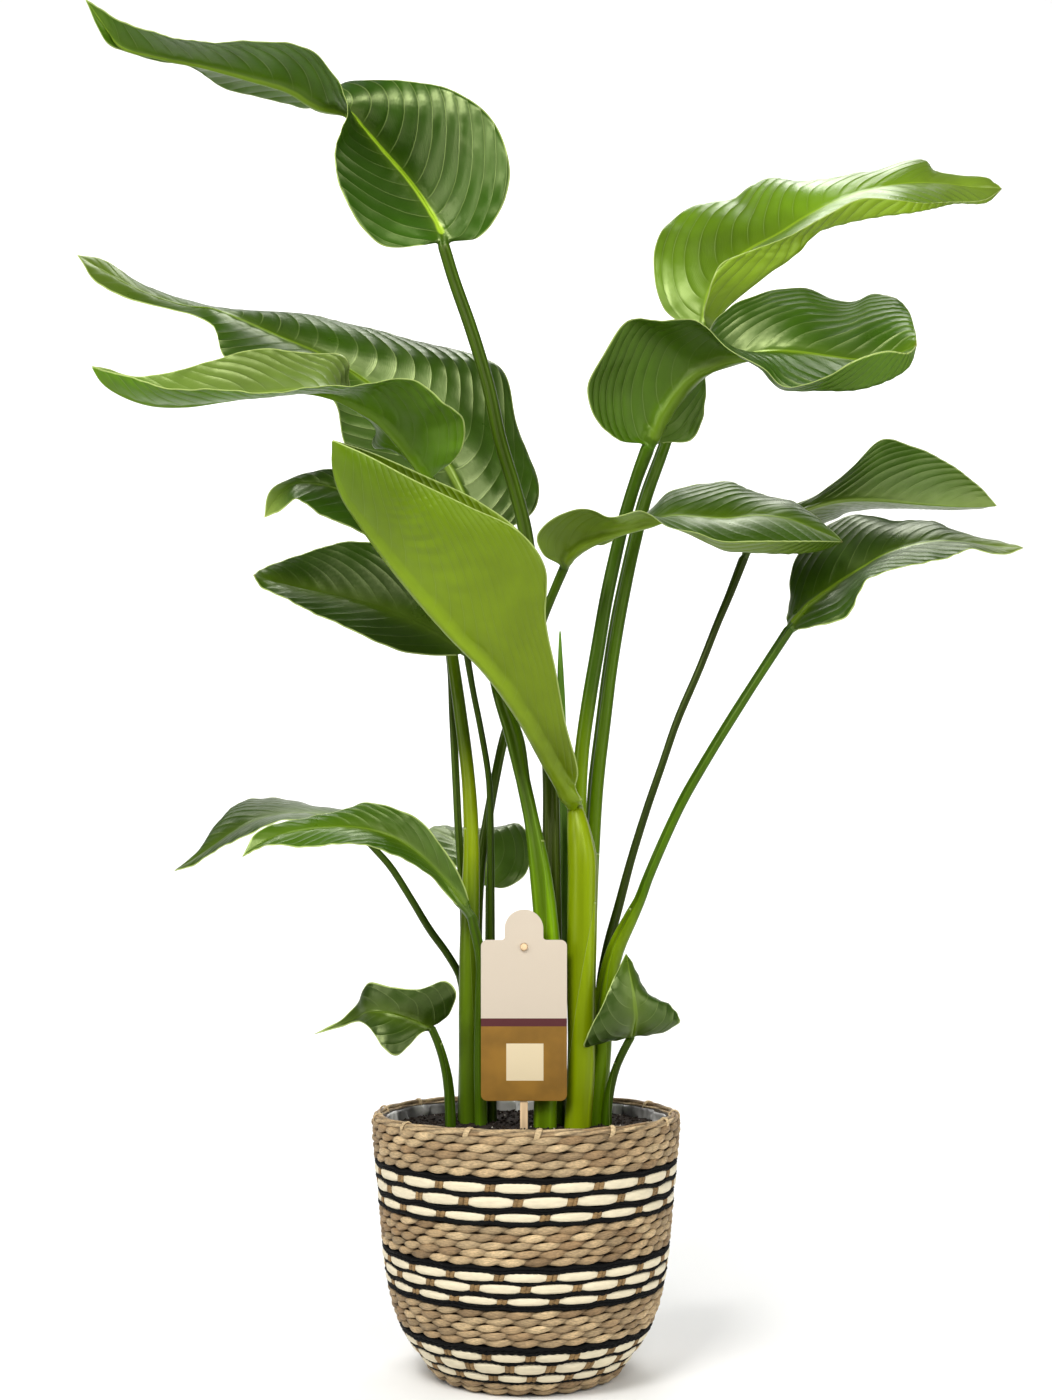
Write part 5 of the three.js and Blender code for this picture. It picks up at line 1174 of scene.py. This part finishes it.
def coil_foot(shape, draw, tints):
    """Rings of cord under the foot."""
    turn = circle(8)
    for k in range(11):
        section = np.stack([5 + 7 * k + 3.6 * np.cos(turn), 2.6 + 2.4 * np.sin(turn)], axis=-1)
        shape.hoop(turned_section(section, 96), tint=mixed(*tints, draw.uniform(0, 1)))


def build_twine(stripes, sizes, colours, materials):
    """The black courses of one band, twisted from twine."""
    shape = Shape()
    rows = courses(stripes, "black")
    low, high = rows[-1][1], rows[0][0]
    down = np.linspace(high, low, 8)
    front, back = TWINE_BACK
    section = np.vstack([wall_points(down, -front), wall_points(down[::-1], -back)])
    black = np.array(colours.twine)
    shape.hoop(turned_section(section, 120), tint=black)
    name = stripes["name"]
    for n, (top, bottom) in enumerate(rows):
        def sway(angle):
            above, below = (squeeze(name, m, sizes.wraps, angle) for m in (n - 1, n))
            return 1.5 * (above - below)

        strands = max(1, round((top - bottom) / (sizes.twine / MM)))
        pitch = (top - bottom) / strands
        for k in range(strands):
            height = top - (k + 0.5) * pitch
            turns = round(2 * math.pi * wall_points([height])[0, 0] / (pitch * 2.1))
            twisted_hoop(shape, height, sway, pitch * 0.6, turns, n + 0.7 * k, black)
    shape.build(f"{name}_black_twine", materials, [f"twine_{name}"])


def build_strip(stripes, n, sizes, colours, materials):
    """One cream course: a flat strip, pillowed between its wraps."""
    shape = Shape()
    top, bottom = courses(stripes, "cream")[n]
    middle, half = (top + bottom) / 2, (top - bottom) / 2
    wraps, start = sizes.wraps, WRAP_STARTS[stripes["name"]][n]
    steps = wraps * STEPS_PER_WRAP
    angle = -np.pi / 2 + np.arange(steps)[:, None] * 2 * np.pi / steps
    pillow = 1 - squeeze(stripes["name"], n, wraps, angle)
    draw = random.Random(len(stripes["name"]) * 10 + n)
    uneven = np.array([draw.uniform(0.88, 1.06) for _ in range(wraps)])
    tilt = np.array([draw.uniform(-1.1, 1.1) for _ in range(wraps)])
    position = (angle + np.pi / 2) * wraps / (2 * np.pi) - start
    cell = np.floor(position).astype(int) % wraps
    swell = pillow * uneven[cell]
    level = middle + tilt[cell] * (position - np.floor(position) - 0.5) * pillow
    level = level + half * 1.04 * STRIP_ACROSS * (0.66 + 0.34 * swell)
    lift = -1.7 + STRIP_FRONT * (2.2 + 2.4 * swell)
    shape.hoop(round_axis(wall_points(level, lift), angle), tint=np.array(colours.cream))

    rows, around = 9, 8
    along, turn = np.linspace(-1, 1, rows), circle(around)
    radius = wall_points([middle])[0, 0]
    level = (middle + (half * 0.6 + 1.8) * along)[:, None] + 0 * turn
    lift = (1.6 * (1 - np.abs(along) ** 3.5) - 0.2)[:, None] + 1.0 * np.cos(turn)
    strand = wall_points(level, lift)
    rings, tints = [], []
    for k in range(wraps):
        for side in (-0.5, 0.5):
            wide = sizes.wrap_width / MM / 4 / radius * draw.uniform(0.9, 1.15)
            centre = -np.pi / 2 + (k + start) * 2 * np.pi / wraps + 2.0 * wide * side
            lean = 0.007 * along + draw.uniform(-0.002, 0.002)
            rings.append(round_axis(strand, centre + lean[:, None] + wide * 1.05 * np.sin(turn)))
            colour = np.array(colours.wrap) * draw.uniform(0.8, 1.15)
            tints.append(np.broadcast_to(colour, (rows * around, 3)))
    shape.tubes(np.array(rings), 1, tint=np.vstack(tints))
    name = f"{stripes['name']}_{n + 1}"
    shape.build(f"cream_strip_{name}", materials, [f"strip_{name}"])


def build_liner(sizes, materials):
    """The film inside the basket, creased and standing in folds at its edge."""
    shape = Shape()
    steps, heights = 360, LINER_HEIGHTS
    rows, top = wall_points(heights, LINER_OUT), LINER_FLOOR + LINER_THICKNESS

    def creases(spot, around, along):
        places = [Vector((spot.x * around, spot.y * around, z * along)) for z in heights]
        return np.array([noise.noise(p) for p in places])

    loops = np.empty((steps, 2 * len(heights) + 2, 3))
    for s, angle in enumerate(circle(steps)):
        spot = Vector((math.cos(angle) * 5, math.sin(angle) * 5, 0))
        crease = creases(spot, 1.6, 0.05) * 2.2 + creases(spot, 4.5, 0.11) * 1.3
        crease = crease * sizes.crease / MM * ease((heights - CREASED[0]) / CREASED[1])
        lift = 1.6 * noise.noise(spot * 0.9) * ease((heights - FOLDED[0]) / FOLDED[1])
        line = rows + np.stack([np.minimum(crease, 0.4), lift], axis=1)
        back = line[::-1] - [LINER_THICKNESS, 0]
        section = np.vstack([[[LINER_FLAT, LINER_FLOOR]], line, back, [[LINER_FLAT - 1, top]]])
        loops[s] = round_axis(section, angle)
    shape.turned(loops, LINER_FLOOR, top)
    shape.build("liner_film", materials, ["liner"])


def soil_level(spot, share):
    """Height of the soil at a spot that lies at a share of its radius."""
    rough = noise.noise(spot * 0.035) * 2.2 + noise.noise(spot * 0.12) * 1.5
    return SOIL_HEIGHT - 2.2 + SOIL_DOME * (1 - share**2) + rough


def build_soil(sizes, materials):
    """Soil with a rough top, loose crumbs and pale grains, round the stalks."""
    shape = Shape()
    steps, rings = 200, 60
    inside = LINER_OUT - LINER_THICKNESS
    edge = wall_points([SOIL_HEIGHT], inside - 1.9)[0, 0]
    body = np.vstack([[[SOIL_FLAT, SOIL_BOTTOM]], wall_points(SOIL_WALL, inside - 0.9)])
    loops = np.empty((steps, len(body) + rings, 3))
    loops[:, : len(body)] = turned_section(body, steps)
    for s, angle in enumerate(circle(steps)):
        for r, radius in enumerate(np.linspace(edge, edge / rings, rings)):
            spot = Vector((radius * math.cos(angle), radius * math.sin(angle), 0))
            height = soil_level(spot, radius / edge) + noise.noise(spot * 0.35) * 0.9
            loops[s, len(body) + r] = (spot.x, spot.y, height)
    shape.turned(loops, SOIL_BOTTOM, SOIL_HEIGHT)
    corners = np.vstack([np.outer([1, -1], row) for row in np.eye(3)])
    sides = [[0, 2, 4], [2, 1, 4], [1, 3, 4], [3, 0, 4], [2, 0, 5], [1, 2, 5], [3, 1, 5], [0, 3, 5]]
    draw = random.Random(5)
    for k in range(sizes.crumbs):
        angle, radius = draw.uniform(0, 2 * math.pi), (edge - 3) * math.sqrt(draw.random())
        pale = k % PALE_EVERY == 0
        size = draw.uniform(0.6, 1.2 if pale else 2.3)
        jitter = np.array([[draw.uniform(0.6, 1.25)] for _ in corners])
        spot = Vector((radius * math.cos(angle), radius * math.sin(angle), 0))
        height = soil_level(spot, radius / edge) + size * 0.35
        turn = np.array(Matrix.Rotation(draw.uniform(0, 6), 3, Vector((draw.random(), 0.5, 0.4))))
        points = (corners * jitter * size) @ turn.T + [spot.x, spot.y, height]
        shape.add(points, sides, 1 if pale else 0)
    shape.build("soil_crumbs", materials, ["soil"])


def card_outline():
    """The card's outline with its round head, and its peg hole, as lists of (x, z)."""
    half, corner, fillet = CARD["width"] / 2, CARD["corner"], 3
    low, high = CARD["bottom"], CARD["bottom"] + CARD["height"]
    radius, quarter = CARD_HEAD["radius"], math.pi / 2
    arcs = (
        (half - corner, low + corner, corner, -quarter, 0, 8),
        (half - corner, high - corner, corner, 0, quarter, 8),
        (radius + fillet, high + fillet, fillet, 3 * quarter, 2 * quarter, 8),
        (0, CARD_HEAD["z"], radius, 0, 2 * quarter, 36),
        (-radius - fillet, high + fillet, fillet, 0, -quarter, 8),
        (-half + corner, high - corner, corner, quarter, 2 * quarter, 8),
        (-half + corner, low + corner, corner, 2 * quarter, 3 * quarter, 8),
    )
    points = [
        (x + r * math.cos(t), z + r * math.sin(t))
        for x, z, r, first, last, steps in arcs for t in np.linspace(first, last, steps)
    ]
    hole = PEG["radius"] + 0.5
    turns = -circle(24)
    return points, [(hole * math.cos(t), PEG["z"] + hole * math.sin(t)) for t in turns]


def build_card(materials):
    """The tag's card with its bands, cut with a round head and a peg hole."""
    outline = bpy.data.curves.new("card_outline", "CURVE")
    outline.dimensions = "2D"
    outline.fill_mode = "BOTH"
    outline.extrude = CARD["thickness"] * MM / 2 - CARD_BEVEL
    outline.bevel_depth = CARD_BEVEL
    for points in card_outline():
        line = outline.splines.new("POLY")
        line.points.add(len(points) - 1)
        line.use_cyclic_u = True
        for point, (x, z) in zip(line.points, points):
            point.co = (x * MM, z * MM, 0, 1)
    holder = bpy.data.objects.new("card_outline", outline)
    mesh = bpy.data.meshes.new_from_object(holder)
    bpy.data.objects.remove(holder)
    bpy.data.curves.remove(outline)
    middle = Matrix.Translation((CARD["x"] * MM, (CARD["y"] - CARD["thickness"] / 2) * MM, 0))
    mesh.transform(middle @ Matrix.Rotation(math.pi / 2, 4, "X"))
    mesh.materials.clear()
    mesh.materials.append(materials[0])
    stand(mesh, "tag_card_bands", ["tag_card"])


def build_stick(materials):
    """The tag's stick with rounded edges and the peg that holds the card."""
    shape = Shape()
    half, deep, round_by = STICK["width"] / 2, STICK["thickness"] / 2, 0.6
    y = CARD["y"] + 0.3 + deep
    section = []
    for quarter, (right, back) in enumerate(((1, 1), (-1, 1), (-1, -1), (1, -1))):
        for step in range(3):
            a = (quarter + step / 2) * math.pi / 2
            section.append((
                right * (half - round_by) + round_by * math.cos(a),
                back * (deep - round_by) + round_by * math.sin(a),
            ))
    section = np.array(section)
    levels = [SOIL_HEIGHT - 1 - ROOT_DEPTH, 260, 320, 380, STICK["top"] - 1, STICK["top"]]
    rings = [
        np.column_stack([CARD["x"] + section[:, 0] * s, y + section[:, 1] * s, np.full(12, z)])
        for z, s in zip(levels, (1, 1, 1, 1, 1, 0.85))
    ]
    shape.tubes(np.array([rings]))
    turn = circle(24)
    front = CARD["y"] - CARD["thickness"] - PEG["proud"]
    peg = []
    for level, s in ((y, 1), (front + 1.2, 1), (front + 0.35, 0.9), (front, 0.6)):
        x, z = (PEG["radius"] * s * np.cos(turn), PEG["radius"] * s * np.sin(turn))
        peg.append(np.column_stack([CARD["x"] + x, np.full(24, level), PEG["z"] + z]))
    shape.tubes(np.array([peg]))
    shape.build("tag_wooden_stick", materials, ["tag_stick"])


def plain_material(name, colour=None):
    """A material of one colour, or of its points' own tint, made uneven as LOOKS says."""
    grain, tones, roughness, relief, gloss = LOOKS[name]
    s = Shader(name)
    uneven = s.noise(*grain)
    toned = s.tone(s.colour("tint") if colour is None else colour, s.ramp(uneven, *tones))
    return s.finish(toned, roughness, gloss, s.bump(uneven, *relief))


def card_material(colours):
    """Matte card: a plain upper panel, a thin dark band and a lower panel with a pale square."""
    s = Shader("card_bands")
    axes = s.node("SeparateXYZ", {0: s.node("TexCoord").outputs["Object"]})
    x, z = axes.outputs[0], axes.outputs[2]
    lower = s.ramp(z, BAND_TOP - PRINT_SOFT, BAND_TOP + PRINT_SOFT, 1.0, 0.0)
    above_panel = s.ramp(z, BAND_BOTTOM - PRINT_SOFT, BAND_BOTTOM + PRINT_SOFT)
    panel = s.ramp(s.noise(22.0, 3.0), 0.3, 0.7, 0.8, 1.2)
    toned = s.mix(lower, colours.card, s.tone(colours.card_lower, panel))
    toned = s.mix(s.times(lower, above_panel), toned, colours.card_band)
    aside = s.maths("ABSOLUTE", s.maths("SUBTRACT", x, SQUARE_X))
    above = s.maths("ABSOLUTE", s.maths("SUBTRACT", z, SQUARE_Z))
    away = s.maths("MAXIMUM", aside, above)
    square = s.ramp(away, SQUARE_HALF - PRINT_SOFT, SQUARE_HALF + PRINT_SOFT, 1.0, 0.0)
    toned = s.mix(square, toned, colours.card_square)
    return s.finish(toned, 0.62, 0.3, s.bump(s.noise(900.0, 2.0), 0.0002, 0.3))


def floor_material(colour):
    """Plain pale floor and backdrop, clear from behind so that the plant shows from all sides."""
    s = Shader("floor")
    s.finish(s.tone(colour, s.ramp(s.noise(1.5, 2.0), 0.3, 0.7, 0.985, 1.0)), 0.85, 0.1)
    behind = s.node("NewGeometry").outputs["Backfacing"]
    s.blend(behind, s.surface.outputs[0], s.node("BsdfTransparent").outputs[0])
    return s.material


def length(name, description, default, low, high):
    """A size in metres."""
    return FloatProperty(
        name=name, description=description, default=default, min=low, max=high,
        subtype="DISTANCE", unit="LENGTH",
    )


def colour(name, description, default):
    """A colour in linear light."""
    return FloatVectorProperty(
        name=name, description=description, default=default, min=0, max=1, subtype="COLOR",
    )


def power(name, description, default):
    """A light's power in watts."""
    return FloatProperty(
        name=name, description=description, default=default, min=0, max=1000,
        subtype="POWER", unit="POWER",
    )


class LeafSettings(bpy.types.PropertyGroup):
    row_step: length(
        "Row step", "Distance between rows of points along a blade", 0.003, 0.001, 0.02,
    )
    thickness: length(
        "Blade thickness", "Thickness of a blade beside its rib", 0.0009, 0.0003, 0.003,
    )
    pleat: length("Pleat", "Height of the pleats that follow the veins", 0.0012, 0.0, 0.003)
    groove: FloatProperty(
        name="Stalk channel", description="Depth of a stalk's channel as a share of its radius",
        default=0.3, min=0.0, max=0.8, subtype="FACTOR",
    )


class LeafColours(bpy.types.PropertyGroup):
    rib: colour("Midrib", "Colour of the midrib on the upper face", (0.30, 0.46, 0.02))
    vein: colour("Veins", "Colour of the main veins", (0.36, 0.50, 0.14))
    margin: colour("Margin", "Colour of a blade's thin edge and of sheaths", (0.42, 0.52, 0.16))
    dry: colour("Dry tip", "Colour of a blade's dry tip", (0.20, 0.13, 0.04))


class BasketSettings(bpy.types.PropertyGroup):
    course: length("Course", "Height of one tan course", 0.0075, 0.003, 0.02)
    stitch: length(
        "Stitch", "Distance between stitches along a tan course", 0.0245, 0.01, 0.06,
    )
    tie_step: length("Ties", "Distance between the ties round the rim", 0.072, 0.02, 0.3)
    twine: length("Twine", "Thickness of a strand of black twine", 0.0032, 0.001, 0.01)
    wraps: IntProperty(
        name="Wraps", description="Wraps round one cream strip", default=18, min=4, max=60,
    )
    wrap_width: length("Wrap width", "Width of one wrap on a cream strip", 0.0095, 0.002, 0.03)
    crease: length("Liner crease", "Depth of the creases near the liner's edge", 0.0028, 0, 0.004)
    crumbs: IntProperty(
        name="Soil crumbs", description="Loose crumbs on the soil", default=1500, min=0, max=6000,
    )


class BasketColours(bpy.types.PropertyGroup):
    tan: colour("Tan cord", "Paler colour of the woven cord", (0.54, 0.40, 0.225))
    tan_dark: colour("Darker tan cord", "Darker colour of the woven cord", (0.26, 0.165, 0.08))
    twine: colour("Black twine", "Colour of the black twine", (0.004, 0.004, 0.004))
    wrap: colour("Wraps", "Colour of the wraps on the cream strips", (0.27, 0.165, 0.065))
    cream: colour("Cream strip", "Colour of the cream strip", (0.74, 0.655, 0.47))
    film: colour("Liner film", "Colour of the film", (0.27, 0.262, 0.258))
    soil: colour("Soil", "Colour of the potting soil", (0.020, 0.013, 0.009))
    grain: colour("Pale grains", "Colour of the pale grains in the soil", (0.55, 0.50, 0.42))


class TagColours(bpy.types.PropertyGroup):
    card: colour("Card", "Colour of the card's upper panel", (0.53, 0.455, 0.365))
    card_band: colour("Band", "Colour of the thin band across the card", (0.075, 0.014, 0.016))
    card_lower: colour("Lower panel", "Colour of the card's lower panel", (0.225, 0.112, 0.012))
    card_square: colour(
        "Square", "Colour of the pale square on the lower panel", (0.66, 0.55, 0.36),
    )
    stick: colour("Stick", "Colour of the stick's wood", (0.76, 0.54, 0.32))


class StageSettings(bpy.types.PropertyGroup):
    floor: colour("Floor", "Colour of the floor and backdrop", (0.88, 0.88, 0.875))
    key: power("Key light", "Power of the key light", 60)
    front: power("Front light", "Power of the narrow light in front", 24)
    side: power("Side light", "Power of the narrow light on the left", 17)
    fill: power("Fill light", "Power of the fill light", 24)
    top: power("Top light", "Power of the light above the back of the plant", 12)
    backdrop: power("Backdrop light", "Power of the light on the backdrop", 64)
    sky: FloatProperty(
        name="Surrounding light", description="Strength of the even light from all sides",
        default=0.1, min=0, max=5,
    )


class PLANT_OT_leaves(bpy.types.Operator):
    """Build every leaf with its stalk"""

    bl_idname = "plant.leaves"
    bl_label = "Leaves"

    def execute(self, context):
        sizes, colours = context.scene.plant_leaf, context.scene.plant_leaf_colours
        materials = [
            blade_material("leaf_upper", colours, 0.27, 0.8, 0.04, 1),
            blade_material("leaf_under", colours, 0.3, 0.55, 0.07, -1),
            stalk_material(colours),
        ]
        for leaf in LEAVES:
            build_leaf(leaf, sizes, colours, materials)
        build_spear([materials[STALK]])
        return {"FINISHED"}


class PLANT_OT_basket(bpy.types.Operator):
    """Build the woven basket with its striped bands"""

    bl_idname = "plant.basket"
    bl_label = "Basket"

    def execute(self, context):
        sizes, colours = context.scene.plant_basket, context.scene.plant_basket_colours
        tan, twine, cream = map(plain_material, ("tan_cord", "black_cord", "cream_band"))
        build_weave(sizes, colours, [tan])
        for stripes in BANDS:
            build_twine(stripes, sizes, colours, [twine])
            for n in range(len(stripes["cream"])):
                build_strip(stripes, n, sizes, colours, [cream, tan])
        return {"FINISHED"}


class PLANT_OT_filling(bpy.types.Operator):
    """Build the liner and the soil"""

    bl_idname = "plant.filling"
    bl_label = "Liner and soil"

    def execute(self, context):
        sizes, colours = context.scene.plant_basket, context.scene.plant_basket_colours
        build_liner(sizes, [plain_material("film", colours.film)])
        soil, grain = colours.soil, colours.grain
        build_soil(sizes, [plain_material("soil", soil), plain_material("pale_grain", grain)])
        return {"FINISHED"}


class PLANT_OT_tag(bpy.types.Operator):
    """Build the plant tag on its stick"""

    bl_idname = "plant.tag"
    bl_label = "Tag"

    def execute(self, context):
        colours = context.scene.plant_tag_colours
        build_card([card_material(colours)])
        build_stick([plain_material("wood", colours.stick)])
        return {"FINISHED"}


class PLANT_OT_stage(bpy.types.Operator):
    """Set up the floor, the lights and the camera"""

    bl_idname = "plant.stage"
    bl_label = "Stage"

    def execute(self, context):
        stage = context.scene.plant_stage
        build_floor(stage)
        build_lights(stage)
        build_camera()
        return {"FINISHED"}


def build_floor(stage):
    """A floor that runs up into a backdrop in one sweep."""
    front, back, side, top, bend, steps = -6.0, 3.0, 6.0, 7.0, 1.6, 24
    profile = [(front, 0.0)]
    for step in range(steps + 1):
        angle = step / steps * math.pi / 2
        profile.append((back - bend + bend * math.sin(angle), bend * (1 - math.cos(angle))))
    profile.append((back, top))
    points = [(x, y, z) for y, z in profile for x in (-side, side)]
    faces = [(2 * k, 2 * k + 1, 2 * k + 3, 2 * k + 2) for k in range(len(profile) - 1)]
    mesh = bpy.data.meshes.new("floor")
    mesh.from_pydata(points, [], faces)
    mesh.materials.append(floor_material(stage.floor))
    mesh.polygons.foreach_set("use_smooth", [True] * len(mesh.polygons))
    floor = bpy.data.objects.new("floor", mesh)
    bpy.context.scene.collection.objects.link(floor)


def build_lights(stage):
    """A broad soft key from the upper front left, weaker lights round it and an even surround."""
    world = bpy.data.worlds.new("surround")
    world.use_nodes = True
    background = world.node_tree.nodes["Background"]
    background.inputs["Color"].default_value = (1, 1, 1, 1)
    background.inputs["Strength"].default_value = stage.sky
    bpy.context.scene.world = world
    for name, (spot, target, size, tint) in LIGHTS.items():
        light = bpy.data.lights.new(name, "AREA")
        light.shape = "RECTANGLE"
        light.size, light.size_y = size
        light.energy = getattr(stage, name)
        light.color = tint
        holder = bpy.data.objects.new(name, light)
        holder.location = spot
        away = Vector(target) - Vector(spot)
        holder.rotation_euler = away.to_track_quat("-Z", "Y").to_euler()
        bpy.context.scene.collection.objects.link(holder)


def build_camera():
    """The camera looks level from the front, with its picture shifted up."""
    camera = bpy.data.cameras.new("camera")
    camera.lens = 46.29
    camera.sensor_width = 36
    camera.shift_y = 0.1371
    camera.dof.use_dof = False
    holder = bpy.data.objects.new("camera", camera)
    holder.location = (0, -VIEW_DISTANCE * MM, VIEW_HEIGHT * MM)
    holder.rotation_euler = (math.pi / 2, 0, 0)
    bpy.context.scene.collection.objects.link(holder)
    bpy.context.scene.camera = holder
    bpy.context.scene.view_settings.view_transform = "Standard"


class PLANT_PT_panel(bpy.types.Panel):
    """Sizes, colours and build steps of the potted plant"""

    bl_idname = "PLANT_PT_panel"
    bl_label = "Potted bird of paradise"
    bl_space_type = "VIEW_3D"
    bl_region_type = "UI"
    bl_category = "Plant"

    def draw(self, context):
        for operator in OPERATORS:
            self.layout.operator(operator.bl_idname)
        for name, kind in SETTINGS:
            box = self.layout.box()
            for key in kind.__annotations__:
                box.prop(getattr(context.scene, name), key)


OPERATORS = (
    PLANT_OT_basket, PLANT_OT_filling, PLANT_OT_leaves, PLANT_OT_tag, PLANT_OT_stage,
)
SETTINGS = (
    ("plant_leaf", LeafSettings), ("plant_leaf_colours", LeafColours),
    ("plant_basket", BasketSettings), ("plant_basket_colours", BasketColours),
    ("plant_tag_colours", TagColours), ("plant_stage", StageSettings),
)


def register():
    for name, kind in SETTINGS:
        bpy.utils.register_class(kind)
        setattr(bpy.types.Scene, name, PointerProperty(type=kind))
    for kind in (*OPERATORS, PLANT_PT_panel):
        bpy.utils.register_class(kind)


def unregister():
    for kind in (PLANT_PT_panel, *reversed(OPERATORS)):
        bpy.utils.unregister_class(kind)
    for name, kind in reversed(SETTINGS):
        delattr(bpy.types.Scene, name)
        bpy.utils.unregister_class(kind)


def main():
    register()
    bpy.ops.plant.basket()
    bpy.ops.plant.filling()
    bpy.ops.plant.leaves()
    bpy.ops.plant.tag()
    bpy.ops.plant.stage()


if __name__ == "__main__":
    main()
